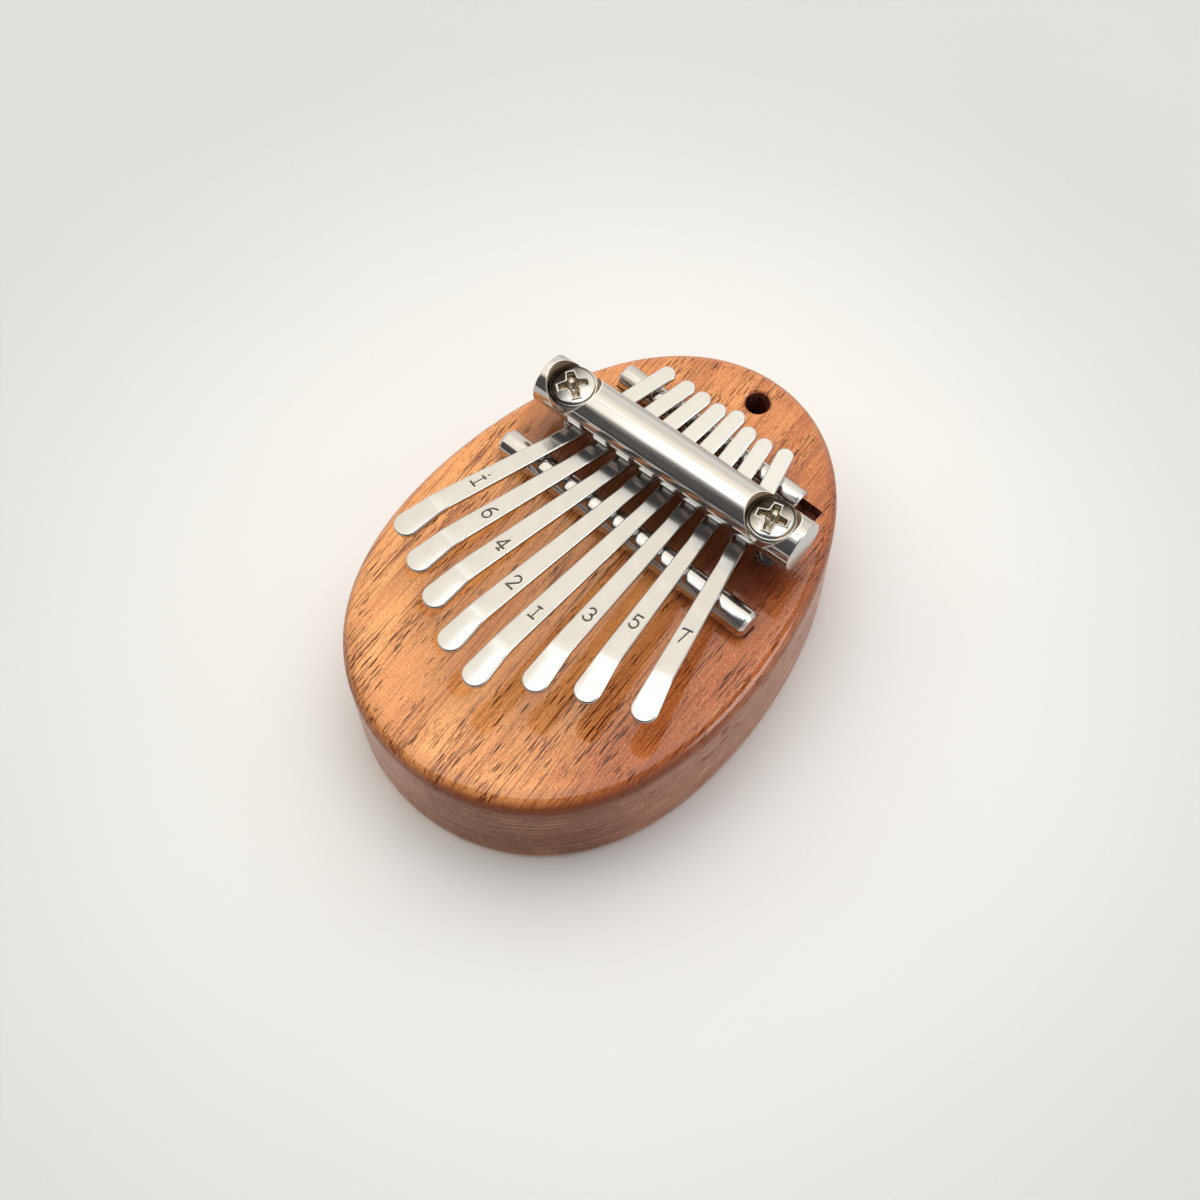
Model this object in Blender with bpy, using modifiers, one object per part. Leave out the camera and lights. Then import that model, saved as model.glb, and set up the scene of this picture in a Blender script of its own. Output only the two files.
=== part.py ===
"""Eight-key kalimba, built as an assembly of fourteen separate pieces.

The wooden body lies on its flat back at z = 0, with +Y towards the hanging hole
and +X to the player's right. Sizes below are in millimetres; the scene is in metres.
"""

import math

import bmesh
import bpy
import numpy as np
from mathutils import Matrix, Vector

MM = 0.001

# Gap left between pieces that touch in the real object.
GAP = 0.3

# Wooden body: an egg with its broad end towards the player.
BODY_LENGTH = 85.3
BODY_WIDTH = 60.6
BODY_THICKNESS = 20.6
EGG_TAPER = 0.097
EGG_FULLNESS = 0.108
TOP_EDGE_RADIUS = 2.4
BACK_EDGE_RADIUS = 1.6
OUTLINE_POINTS = 80

# Hanging hole through the far end.
HOLE_DIAMETER = 3.9
HOLE_FROM_END = 5.65
HOLE_CHAMFER = 0.35
HOLE_Y = BODY_LENGTH / 2 - HOLE_FROM_END

# Front bridge: the thick rod that the keys spring from, bedded in a groove.
FRONT_DIAMETER = 4.6
FRONT_LENGTH = 48.2
FRONT_Y = 5.3
FRONT_SINK = 0.3
FRONT_CHAMFER = 0.6

# Rear bridge: a thinner rod resting on the edges of a slot narrower than itself.
REAR_DIAMETER = 4.0
REAR_LENGTH = 35.2
REAR_X = -0.8
REAR_Y = 26.5
REAR_CHAMFER = 0.35
SLOT_WIDTH = 3.4
SLOT_DEPTH = 2.4
SLOT_OVERRUN = 3.0

# Clamp bar across the keys, fitted a little askew as on the photographed object.
CLAMP_DIAMETER = 8.0
CLAMP_LENGTH = 47.3
CLAMP_Y = 16.2
CLAMP_ASKEW_DEG = 2.8
CLAMP_EDGE = 0.15
SEAT_DIAMETER = 8.2
SEAT_FLOOR = 0.4

# Clamp screws, each set in from its end of the bar.
SCREW_FROM_LEFT_END = 5.0
SCREW_FROM_RIGHT_END = 5.6
SCREW_MAJOR = 3.5
THREAD_DEPTH = 0.35
THREAD_PITCH = 1.3
THREAD_START = 0.8
POINT_LENGTH = 2.2
SCREW_BITE = 8.0
PILOT_SPARE = 1.0
HEAD_DIAMETER = 7.0
HEAD_SIDE = 1.1
HEAD_DOME = 1.35
HEAD_EDGE = 0.15
CROSS_SPAN = 4.3
CROSS_WIDTH = 1.15
CROSS_DEPTH = 1.5
CROSS_TAPER = 0.55
SCREW_TURNS_DEG = (8.0, 33.0)
SHANK_CLEARANCE = 0.2

# Spring-steel keys, called tines.
TINE_THICKNESS = 0.9
TINE_EDGE = 0.12
REAR_WIDTH = 2.75
KINK_WIDTH = 2.6
BEND_WIDTH = 3.3
TIP_WIDTH = 4.05
SHAFT_RISE_DEG = 8.2
SPOON_FALL_DEG = 7.0
SPOON_LENGTH = 7.6
KINK_BEHIND_BRIDGE = 3.4
PRESSED_DOWN = 0.4
BEND_ROUNDING = 0.8
CLAMP_ROUNDING = 2.0

ROUND_END_STEPS = 14

# Stamped scale degrees.
STAMP_FROM_BEND = 6.8
STAMP_HEIGHT = 2.1
STAMP_WIDTH = 1.5
STROKE_DIAMETER = 0.3

# The tines from left to right: scale degree, place under the clamp bar, fan angle,
# free length from the front bridge to the tip, and tail behind the rear bridge.
DEGREES = ("1_high", "6", "4", "2", "1", "3", "5", "7")
CLAMP_CROSSING_X = (-15.3, -10.7, -6.75, -2.7, 1.1, 5.1, 9.2, 14.2)
FAN_ANGLE_DEG = (13.2, 10.4, 6.8, 2.9, -0.6, -4.6, -8.7, -14.3)
FREE_LENGTH = (24.6, 27.6, 30.2, 33.7, 35.4, 30.4, 26.9, 24.1)
TAIL_LENGTH = (4.3, 4.3, 4.3, 4.2, 5.1, 4.0, 4.0, 4.7)

# Heights that follow from the sizes above, measured from the back of the body.
FRONT_AXIS_Z = BODY_THICKNESS + FRONT_DIAMETER / 2 - FRONT_SINK
FRONT_CREST_Z = FRONT_AXIS_Z + FRONT_DIAMETER / 2
SHAFT_SLOPE = math.tan(math.radians(SHAFT_RISE_DEG))
SPOON_SLOPE = math.tan(math.radians(SPOON_FALL_DEG))
UNDER_TINE_AT_FRONT = FRONT_AXIS_Z + (FRONT_DIAMETER / 2 + GAP) * math.hypot(1, SHAFT_SLOPE)
UNDER_TINE_AT_KINK = UNDER_TINE_AT_FRONT - KINK_BEHIND_BRIDGE * SHAFT_SLOPE
REAR_AXIS_Z = BODY_THICKNESS + math.sqrt((REAR_DIAMETER / 2 + GAP) ** 2 - (SLOT_WIDTH / 2) ** 2)
UNDER_TINE_AT_REAR = REAR_AXIS_Z + REAR_DIAMETER / 2 + GAP
UNDER_TINE_AT_CLAMP = (UNDER_TINE_AT_KINK + UNDER_TINE_AT_REAR) / 2 - PRESSED_DOWN
CLAMP_AXIS_Z = UNDER_TINE_AT_CLAMP + TINE_THICKNESS + GAP + CLAMP_DIAMETER / 2
SCREW_HEAD_Z = CLAMP_AXIS_Z + SEAT_FLOOR + GAP


def clear_scene():
    """Remove whatever the scene starts with."""
    for obj in list(bpy.data.objects):
        bpy.data.objects.remove(obj, do_unlink=True)
    for collection in list(bpy.data.collections):
        bpy.data.collections.remove(collection)


def make_collection(name):
    collection = bpy.data.collections.new(name)
    bpy.context.scene.collection.children.link(collection)
    return collection


def make_material(name, colour, roughness, metallic):
    """Plain Principled material for one piece."""
    material = bpy.data.materials.new(name)
    material.use_nodes = True
    material.diffuse_color = (*colour, 1.0)
    shader = material.node_tree.nodes["Principled BSDF"]
    shader.inputs["Base Color"].default_value = (*colour, 1.0)
    shader.inputs["Roughness"].default_value = roughness
    shader.inputs["Metallic"].default_value = metallic
    return material


def mesh_from(bm, name, smooth_deg=35.0):
    """Turn a bmesh in millimetres into a mesh datablock in metres."""
    bmesh.ops.recalc_face_normals(bm, faces=bm.faces)
    bmesh.ops.scale(bm, vec=(MM, MM, MM), verts=bm.verts)
    mesh = bpy.data.meshes.new(name)
    bm.to_mesh(mesh)
    bm.free()
    mesh.shade_smooth()
    mesh.set_sharp_from_angle(angle=math.radians(smooth_deg))
    return mesh


def bmesh_from_curve(curve):
    """Welded bmesh of a curve drawn in millimetres; the curve itself is removed."""
    holder = bpy.data.objects.new(curve.name, curve)
    CUTTERS.objects.link(holder)
    bpy.context.view_layer.update()
    graph = bpy.context.evaluated_depsgraph_get()
    mesh = bpy.data.meshes.new_from_object(holder.evaluated_get(graph))
    bpy.data.objects.remove(holder, do_unlink=True)
    bm = bmesh.new()
    bm.from_mesh(mesh)
    bmesh.ops.remove_doubles(bm, verts=bm.verts, dist=0.001)
    return bm


def add_piece(name, mesh, look, place=None):
    """Link a mesh as one named piece of the kalimba."""
    obj = bpy.data.objects.new(name, mesh)
    obj.matrix_world = place if place is not None else Matrix.Identity(4)
    mesh.materials.append(make_material(name, *look))
    PIECES.objects.link(obj)
    return obj


def cut(obj, mesh, place=None):
    """Subtract a cutter mesh from a piece with a live Boolean."""
    cutter = bpy.data.objects.new(f"{obj.name}_cutter_{len(obj.modifiers)}", mesh)
    cutter.matrix_world = place if place is not None else Matrix.Identity(4)
    cutter.hide_render = True
    cutter.display_type = "WIRE"
    CUTTERS.objects.link(cutter)
    boolean = obj.modifiers.new(f"cut {len(obj.modifiers)}", "BOOLEAN")
    boolean.operation = "DIFFERENCE"
    boolean.solver = "EXACT"
    boolean.object = cutter


def at(x, y, z, turn_deg=0.0):
    """Placement matrix: millimetres and a turn about the vertical."""
    return Matrix.Translation(Vector((x, y, z)) * MM) @ Matrix.Rotation(math.radians(turn_deg), 4, "Z")


def lying_along_x():
    return Matrix.Rotation(math.pi / 2, 4, "Y")


def rod_mesh(name, length, diameter, chamfer, segments, placing):
    """Round rod with chamfered ends, turned into place by a matrix in millimetres."""
    bm = bmesh.new()
    radius = diameter / 2
    bmesh.ops.create_cone(
        bm, cap_ends=True, segments=segments, radius1=radius, radius2=radius, depth=length
    )
    if chamfer > 0:
        rims = [edge for edge in bm.edges if abs(edge.verts[0].co.z - edge.verts[1].co.z) < 1e-6]
        bmesh.ops.bevel(bm, geom=rims, offset=chamfer, segments=1, affect="EDGES", clamp_overlap=True)
    bmesh.ops.transform(bm, matrix=placing, verts=bm.verts)
    return mesh_from(bm, name)


def box_mesh(name, size, centre):
    bm = bmesh.new()
    bmesh.ops.create_cube(bm, size=1.0)
    bmesh.ops.scale(bm, vec=size, verts=bm.verts)
    bmesh.ops.translate(bm, vec=centre, verts=bm.verts)
    return mesh_from(bm, name)


def taper_mesh(name, top_radius, low_radius, top_z, low_z, segments=32):
    """Round cutter whose radius changes from its low end to its top end."""
    bm = bmesh.new()
    bmesh.ops.create_cone(
        bm, cap_ends=True, segments=segments, radius1=low_radius, radius2=top_radius, depth=top_z - low_z
    )
    bmesh.ops.translate(bm, vec=(0, 0, (top_z + low_z) / 2), verts=bm.verts)
    return mesh_from(bm, name)


def egg_point(angle):
    """Point of the body's outline: an ellipse whose width narrows away from the player."""
    along = math.sin(angle)
    width = 1 - EGG_TAPER * along + EGG_FULLNESS * along * along
    return BODY_WIDTH / 2 * math.cos(angle) * width, BODY_LENGTH / 2 * along


def build_body():
    """Egg-shaped slab with rounded edges, a hanging hole, and seats for rods and screws."""
    bm = bmesh.new()
    bmesh.ops.create_cone(
        bm, cap_ends=True, segments=OUTLINE_POINTS, radius1=1, radius2=1, depth=BODY_THICKNESS
    )
    for vert in bm.verts:
        x, y = egg_point(math.atan2(vert.co.y, vert.co.x))
        vert.co = (x, y, vert.co.z + BODY_THICKNESS / 2)
    middle = BODY_THICKNESS / 2
    top = [edge for edge in bm.edges if all(v.co.z > middle for v in edge.verts)]
    bmesh.ops.bevel(
        bm, geom=top, offset=TOP_EDGE_RADIUS, segments=5, profile=0.5, affect="EDGES", clamp_overlap=True
    )
    back = [edge for edge in bm.edges if all(v.co.z < 1e-6 for v in edge.verts)]
    bmesh.ops.bevel(
        bm, geom=back, offset=BACK_EDGE_RADIUS, segments=4, profile=0.5, affect="EDGES", clamp_overlap=True
    )
    body = add_piece("body_wood", mesh_from(bm, "body_wood"), ((0.58, 0.25, 0.10), 0.3, 0.0))

    above = HOLE_DIAMETER
    hole = taper_mesh("hole", HOLE_DIAMETER / 2, HOLE_DIAMETER / 2, BODY_THICKNESS + above, -above)
    cut(body, hole, at(0, HOLE_Y, 0))
    mouth = HOLE_DIAMETER / 2 + HOLE_CHAMFER
    low = BODY_THICKNESS - HOLE_CHAMFER
    cone = taper_mesh("hole_chamfer", mouth + above, mouth - HOLE_CHAMFER, BODY_THICKNESS + above, low)
    cut(body, cone, at(0, HOLE_Y, 0))

    groove = rod_mesh(
        "front_groove", FRONT_LENGTH + 2 * GAP, FRONT_DIAMETER + 2 * GAP, 0, 48, lying_along_x()
    )
    cut(body, groove, at(0, FRONT_Y, FRONT_AXIS_Z))

    slot_length = REAR_LENGTH + GAP + SLOT_OVERRUN
    slot_size = (slot_length, SLOT_WIDTH, SLOT_DEPTH + above)
    slot = box_mesh("rear_slot", slot_size, (0, 0, (above - SLOT_DEPTH) / 2))
    cut(body, slot, at(REAR_X + (SLOT_OVERRUN - GAP) / 2, REAR_Y, BODY_THICKNESS))

    pilot_radius = SCREW_MAJOR / 2 + SHANK_CLEARANCE
    floor = BODY_THICKNESS - SCREW_BITE - PILOT_SPARE
    for side in (-1, 1):
        x, y = screw_place(side)
        pilot = taper_mesh("pilot_hole", pilot_radius, pilot_radius, BODY_THICKNESS + above, floor, 24)
        cut(body, pilot, at(x, y, 0))


def build_rod(name, length, diameter, chamfer, x, y, z, look):
    mesh = rod_mesh(name, length, diameter, chamfer, 48, lying_along_x())
    return add_piece(name, mesh, look, at(x, y, z))


def screw_place(side):
    """Plan position of a clamp screw, on the askew line of the clamp bar."""
    inset = SCREW_FROM_LEFT_END if side < 0 else SCREW_FROM_RIGHT_END
    along = side * (CLAMP_LENGTH / 2 - inset)
    askew = math.radians(CLAMP_ASKEW_DEG)
    return along * math.cos(askew), CLAMP_Y + along * math.sin(askew)


def build_clamp_bar():
    """Round bar with a flat-floored seat and a through hole near each end."""
    mesh = rod_mesh("clamp_bar", CLAMP_LENGTH, CLAMP_DIAMETER, CLAMP_EDGE, 72, lying_along_x())
    place = at(0, CLAMP_Y, CLAMP_AXIS_Z, CLAMP_ASKEW_DEG)
    bar = add_piece("clamp_bar", mesh, ((0.78, 0.78, 0.77), 0.16, 1.0), place)
    reach = CLAMP_DIAMETER
    for side in (-1, 1):
        x, y = screw_place(side)
        seat = taper_mesh("screw_seat", SEAT_DIAMETER / 2, SEAT_DIAMETER / 2, reach, SEAT_FLOOR, 56)
        cut(bar, seat, at(x, y, CLAMP_AXIS_Z))
        hole_radius = SCREW_MAJOR / 2 + SHANK_CLEARANCE
        hole = taper_mesh("screw_hole", hole_radius, hole_radius, reach, -reach, 24)
        cut(bar, hole, at(x, y, CLAMP_AXIS_Z))


def screw_profile():
    """Outline of a pan-head screw from its dome down to its point, head underside at z = 0."""
    head = HEAD_DIAMETER / 2
    points = []
    for step in range(7):
        angle = math.radians(90 - 15 * step)
        points.append((head * math.cos(angle), HEAD_SIDE + HEAD_DOME * math.sin(angle)))
    points[0] = (0.0, HEAD_SIDE + HEAD_DOME)
    points.append((head, HEAD_EDGE))
    points.append((head - HEAD_EDGE, 0.0))
    root = SCREW_MAJOR / 2 - THREAD_DEPTH
    crest = SCREW_MAJOR / 2
    points.append((root, 0.0))
    length = SCREW_HEAD_Z - (BODY_THICKNESS - SCREW_BITE)
    rings = int((length - THREAD_START - POINT_LENGTH) / THREAD_PITCH)
    for ring in range(rings):
        low = -THREAD_START - ring * THREAD_PITCH
        points.append((root, low))
        points.append((crest, low - THREAD_PITCH * 0.35))
        points.append((crest, low - THREAD_PITCH * 0.5))
    points.append((root, -THREAD_START - rings * THREAD_PITCH))
    points.append((0.0, -length))
    return points


def turned_mesh(name, profile, steps):
    """Spin an outline about the vertical with a Screw modifier and return the mesh."""
    line = bpy.data.meshes.new(name + "_profile")
    edges = [(i, i + 1) for i in range(len(profile) - 1)]
    line.from_pydata([(r * MM, 0, z * MM) for r, z in profile], edges, [])
    holder = bpy.data.objects.new(name + "_profile", line)
    CUTTERS.objects.link(holder)
    screw = holder.modifiers.new("turn", "SCREW")
    screw.axis = "Z"
    screw.angle = math.tau
    screw.steps = steps
    screw.render_steps = steps
    screw.use_merge_vertices = True
    screw.merge_threshold = 0.00001
    bpy.context.view_layer.update()
    graph = bpy.context.evaluated_depsgraph_get()
    mesh = bpy.data.meshes.new_from_object(holder.evaluated_get(graph))
    bpy.data.objects.remove(holder, do_unlink=True)
    bm = bmesh.new()
    bm.from_mesh(mesh)
    bmesh.ops.remove_doubles(bm, verts=bm.verts, dist=0.001 * MM)
    bmesh.ops.recalc_face_normals(bm, faces=bm.faces)
    bm.to_mesh(mesh)
    bm.free()
    mesh.shade_smooth()
    mesh.set_sharp_from_angle(angle=math.radians(35))
    return mesh


def wing_mesh(name, top_z):
    """One wing of the cross recess, narrowing towards its bottom."""
    bm = bmesh.new()
    bmesh.ops.create_cube(bm, size=1.0)
    lead = HEAD_SIDE
    for vert in bm.verts:
        lower = vert.co.z < 0
        shrink = CROSS_TAPER if lower else 1 + (1 - CROSS_TAPER) * lead / CROSS_DEPTH
        vert.co.x *= CROSS_SPAN * shrink
        vert.co.y *= CROSS_WIDTH * (0.75 if lower else 1.0)
        vert.co.z = top_z - CROSS_DEPTH if lower else top_z + lead
    return mesh_from(bm, name)


def build_screw(name, side, turn_deg):
    """Pan-head screw standing in its seat, with a cross recess in the dome."""
    mesh = turned_mesh(name, screw_profile(), 28)
    x, y = screw_place(side)
    place = at(x, y, SCREW_HEAD_Z, turn_deg)
    screw = add_piece(name, mesh, ((0.74, 0.73, 0.70), 0.22, 1.0), place)
    top = HEAD_SIDE + HEAD_DOME
    cut(screw, wing_mesh("cross_wing", top), place)
    cut(screw, wing_mesh("cross_wing", top), place @ Matrix.Rotation(math.pi / 2, 4, "Z"))
    pit_floor = top - CROSS_DEPTH * 1.25
    pit = taper_mesh("cross_pit", CROSS_WIDTH, CROSS_WIDTH * 0.35, top + HEAD_EDGE, pit_floor, 20)
    cut(screw, pit, place @ Matrix.Rotation(math.radians(9), 4, "Z"))


def rounded_line(corners, rounding):
    """Height along a chain of straight stretches, with each inner corner eased over a distance."""
    stations = [station for station, _ in corners]
    slopes = []
    for (s0, z0), (s1, z1) in zip(corners, corners[1:]):
        slopes.append((z1 - z0) / (s1 - s0))

    def height(s):
        index = 0
        while index < len(slopes) - 1 and s > stations[index + 1]:
            index += 1
        z = corners[index][1] + slopes[index] * (s - stations[index])
        for corner in range(1, len(stations) - 1):
            reach = rounding[corner - 1]
            inside = reach - abs(s - stations[corner])
            if inside > 0:
                z += (slopes[corner] - slopes[corner - 1]) * inside * inside / (4 * reach)
        return z

    return height


class Tine:
    """Plan and profile of one key. Distance s runs along it, 0 over the front bridge, + to the rear."""

    def __init__(self, clamp_x, fan_deg, free, tail):
        fan = math.radians(fan_deg)
        self.slant = math.tan(fan)
        self.stretch = 1 / math.cos(fan)
        self.askew = math.tan(math.radians(CLAMP_ASKEW_DEG))
        self.bridge_x = clamp_x - (CLAMP_Y - FRONT_Y) * self.slant
        self.tip = -free
        self.tip_centre = self.tip + TIP_WIDTH / 2
        self.bend = self.tip + SPOON_LENGTH
        self.kink = self.crossing(FRONT_Y + KINK_BEHIND_BRIDGE)
        self.clamp = self.crossing(CLAMP_Y)
        self.rear = (REAR_Y - FRONT_Y) * self.stretch
        self.end = self.rear + tail
        self.end_centre = self.end - REAR_WIDTH / 2
        tail_slope = (UNDER_TINE_AT_REAR - UNDER_TINE_AT_CLAMP) / (self.rear - self.clamp)
        bend_z = UNDER_TINE_AT_FRONT - self.bend * SHAFT_SLOPE
        corners = [
            (self.tip, bend_z - SPOON_LENGTH * SPOON_SLOPE),
            (self.bend, bend_z),
            (self.kink, UNDER_TINE_AT_FRONT - self.kink * SHAFT_SLOPE),
            (self.clamp, UNDER_TINE_AT_CLAMP),
            (self.end, UNDER_TINE_AT_REAR + (self.end - self.rear) * tail_slope),
        ]
        self.under = rounded_line(corners, (BEND_ROUNDING, BEND_ROUNDING, CLAMP_ROUNDING))

    def crossing(self, y_at_middle):
        """Distance along the tine to a line that runs parallel to the askew clamp bar."""
        run = y_at_middle - FRONT_Y + self.askew * self.bridge_x
        return run / (1 - self.askew * self.slant) * self.stretch

    def half_width(self, s):
        stations = (self.tip_centre, self.bend, self.kink, self.rear)
        return float(np.interp(s, stations, (TIP_WIDTH, BEND_WIDTH, KINK_WIDTH, REAR_WIDTH))) / 2

    def stations(self):
        """Places along the tine where it is divided across, close together at the bends."""
        found = [self.tip_centre, 0.0, self.rear, self.end_centre]
        for place, reach in (
            (self.bend, BEND_ROUNDING),
            (self.kink, BEND_ROUNDING),
            (self.clamp, CLAMP_ROUNDING),
        ):
            found += [place - reach, place - reach / 3, place + reach / 3, place + reach]
        return sorted(found)

    def section(self, s):
        """Lower and upper centre points of the cross-section, square to the tine's slope."""
        step = 0.05
        slope = (self.under(s + step) - self.under(s - step)) / (2 * step)
        size = TINE_THICKNESS / math.hypot(1, slope)
        low = (s, self.under(s))
        high = (s - slope * size, self.under(s) + size)
        return low, high


def tine_outline(tine):
    """Closed plan outline: round tip, widening front, narrow waist, round rear end."""
    right = []
    for s in (tine.bend, tine.kink, tine.rear):
        right.append((tine.half_width(s), s))
    outline = []
    for centre, turn_from in ((tine.tip_centre, math.pi), (tine.end_centre, 0.0)):
        radius = tine.half_width(centre)
        for step in range(ROUND_END_STEPS + 1):
            angle = turn_from + math.pi * step / ROUND_END_STEPS
            outline.append((radius * math.cos(angle), centre + radius * math.sin(angle)))
        if centre == tine.tip_centre:
            outline += right
    outline += [(-x, s) for x, s in reversed(right)]
    return outline


def tine_mesh(name, tine):
    """Flat strip with chamfered edges, divided across and bent to its profile."""
    curve = bpy.data.curves.new(name, "CURVE")
    curve.dimensions = "2D"
    curve.fill_mode = "BOTH"
    curve.extrude = TINE_THICKNESS / 2 - TINE_EDGE
    curve.bevel_depth = TINE_EDGE
    curve.bevel_resolution = 0
    curve.offset = -TINE_EDGE
    spline = curve.splines.new("POLY")
    outline = tine_outline(tine)
    spline.points.add(len(outline) - 1)
    for target, (x, s) in zip(spline.points, outline):
        target.co = (x, s, 0.0, 1.0)
    spline.use_cyclic_u = True
    bm = bmesh_from_curve(curve)
    bmesh.ops.dissolve_limit(bm, angle_limit=math.radians(0.5), verts=bm.verts, edges=bm.edges)
    for s in tine.stations():
        whole = bm.verts[:] + bm.edges[:] + bm.faces[:]
        bmesh.ops.bisect_plane(bm, geom=whole, dist=0.0001, plane_co=(0, s, 0), plane_no=(0, 1, 0))
    for vert in bm.verts:
        share = vert.co.z / TINE_THICKNESS + 0.5
        low, high = tine.section(vert.co.y)
        vert.co.y = low[0] + (high[0] - low[0]) * share
        vert.co.z = low[1] + (high[1] - low[1]) * share - FRONT_CREST_Z
    return mesh_from(bm, name, 25.0)


def arc(cx, cy, rx, ry, start_deg, end_deg, count):
    """Points on an elliptical arc, anticlockwise from the right when the angle grows."""
    angles = np.radians(np.linspace(start_deg, end_deg, count))
    return [(cx + rx * math.cos(a), cy + ry * math.sin(a)) for a in angles]


def strokes_of(label):
    """Strokes of a plain numeral in a cell one wide and one high, centred on zero."""
    one = [[(0, -0.5), (0, 0.5)], [(0, 0.5), (-0.26, 0.34)], [(-0.3, -0.5), (0.3, -0.5)]]
    if label == "1":
        return one
    if label == "1_high":
        return one + [[(0, 0.78), (0, 0.86)]]
    if label == "2":
        return [
            arc(0, 0.22, 0.34, 0.28, 165, -20, 9) + [(0.12, -0.12), (-0.36, -0.5)],
            [(-0.36, -0.5), (0.38, -0.5)],
        ]
    if label == "3":
        return [arc(-0.02, 0.25, 0.32, 0.25, 150, -80, 9), arc(-0.02, -0.23, 0.36, 0.27, 80, -150, 10)]
    if label == "4":
        return [
            [(0.12, 0.5), (-0.42, -0.18)],
            [(-0.42, -0.18), (0.42, -0.18)],
            [(0.14, 0.5), (0.14, -0.5)],
            [(0.0, -0.5), (0.3, -0.5)],
        ]
    if label == "5":
        return [
            [(0.34, 0.5), (-0.24, 0.5)],
            [(-0.24, 0.5), (-0.29, 0.05)],
            arc(-0.02, -0.18, 0.36, 0.32, 135, -150, 11),
        ]
    if label == "6":
        return [arc(0.28, -0.2, 0.64, 0.7, 95, 180, 7), arc(0, -0.2, 0.34, 0.3, 0, 330, 12)]
    if label == "7":
        return [[(-0.36, 0.5), (0.38, 0.5)], [(0.38, 0.5), (-0.12, -0.5)], [(-0.36, 0.5), (-0.36, 0.36)]]
    raise ValueError(label)


def stroke_mesh(name, points):
    """Round tube along a stroke, with filled caps."""
    curve = bpy.data.curves.new(name, "CURVE")
    curve.dimensions = "3D"
    curve.bevel_depth = STROKE_DIAMETER / 2
    curve.bevel_resolution = 1
    curve.use_fill_caps = True
    spline = curve.splines.new("POLY")
    spline.points.add(len(points) - 1)
    for target, point in zip(spline.points, points):
        target.co = (*point, 1.0)
    return mesh_from(bmesh_from_curve(curve), name)


def stamp(obj, tine, label, place):
    """Cut a numeral into the tine's upper face, upright for the player."""
    centre = tine.bend + STAMP_FROM_BEND
    for index, stroke in enumerate(strokes_of(label)):
        points = []
        for u, v in stroke:
            _, (y, z) = tine.section(centre + v * STAMP_HEIGHT)
            points.append((u * STAMP_WIDTH, y, z - FRONT_CREST_Z))
        cut(obj, stroke_mesh(f"stamp_{label}_{index}", points), place)


def build_tine(number, label, clamp_x, fan_deg, free, tail):
    """One key, with its origin on its hinge line over the crest of the front bridge."""
    tine = Tine(clamp_x, fan_deg, free, tail)
    name = f"tine_{number}"
    place = at(tine.bridge_x, FRONT_Y, FRONT_CREST_Z, -fan_deg)
    obj = add_piece(name, tine_mesh(name, tine), ((0.80, 0.77, 0.71), 0.28, 1.0), place)
    stamp(obj, tine, label, place)


clear_scene()
PIECES = make_collection("kalimba")
CUTTERS = make_collection("cutters")
STEEL = ((0.76, 0.76, 0.75), 0.15, 1.0)

build_body()
build_rod("front_bridge", FRONT_LENGTH, FRONT_DIAMETER, FRONT_CHAMFER, 0, FRONT_Y, FRONT_AXIS_Z, STEEL)
build_rod("rear_bridge", REAR_LENGTH, REAR_DIAMETER, REAR_CHAMFER, REAR_X, REAR_Y, REAR_AXIS_Z, STEEL)
build_clamp_bar()
build_screw("clamp_screw_left", -1, SCREW_TURNS_DEG[0])
build_screw("clamp_screw_right", 1, SCREW_TURNS_DEG[1])
tine_rows = zip(DEGREES, CLAMP_CROSSING_X, FAN_ANGLE_DEG, FREE_LENGTH, TAIL_LENGTH)
for tine_number, tine_row in enumerate(tine_rows, start=1):
    build_tine(tine_number, *tine_row)
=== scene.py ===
"""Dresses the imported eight-key kalimba: lacquered wood, polished rods, satin spring keys."""

import math

import bpy
import numpy as np
from mathutils import Matrix, Vector


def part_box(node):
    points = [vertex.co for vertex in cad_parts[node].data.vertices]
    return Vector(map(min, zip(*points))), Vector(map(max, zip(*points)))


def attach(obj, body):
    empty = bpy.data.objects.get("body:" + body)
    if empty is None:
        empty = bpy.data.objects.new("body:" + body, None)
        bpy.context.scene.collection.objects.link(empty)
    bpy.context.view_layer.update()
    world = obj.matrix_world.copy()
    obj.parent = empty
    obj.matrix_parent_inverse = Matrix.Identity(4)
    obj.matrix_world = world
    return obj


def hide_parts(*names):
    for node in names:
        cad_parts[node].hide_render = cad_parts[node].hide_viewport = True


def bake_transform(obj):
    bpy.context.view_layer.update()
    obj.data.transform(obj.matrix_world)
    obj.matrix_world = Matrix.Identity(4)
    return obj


bl_info = {
    "name": "Kalimba dresser",
    "version": (1, 0, 0),
    "blender": (4, 5, 0),
    "location": "View3D > Sidebar > Kalimba",
    "description": "Builds the finished surfaces and materials of an eight-key kalimba",
    "category": "Object",
}

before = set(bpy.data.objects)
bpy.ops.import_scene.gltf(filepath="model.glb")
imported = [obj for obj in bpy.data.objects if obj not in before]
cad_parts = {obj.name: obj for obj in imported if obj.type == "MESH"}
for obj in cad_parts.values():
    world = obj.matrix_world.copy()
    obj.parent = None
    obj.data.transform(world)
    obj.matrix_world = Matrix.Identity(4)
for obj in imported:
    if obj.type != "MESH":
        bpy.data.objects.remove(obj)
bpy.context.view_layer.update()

MM = 0.001
TAU = 2 * math.pi

# Places along Y, and the height of the front bridge's crest above the wood, in millimetres
FRONT_Y, CLAMP_Y, REAR_Y, HOLE_Y = 5.3, 16.2, 26.5, 37.0
FRONT_CREST = 4.3
BODY_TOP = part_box("front_bridge")[1].z / MM - FRONT_CREST

# The rear slot's half width and depth, in millimetres
SLOT_HALF, SLOT_DEPTH = 1.7, 2.4


# Sizes and colours a user would change


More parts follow.
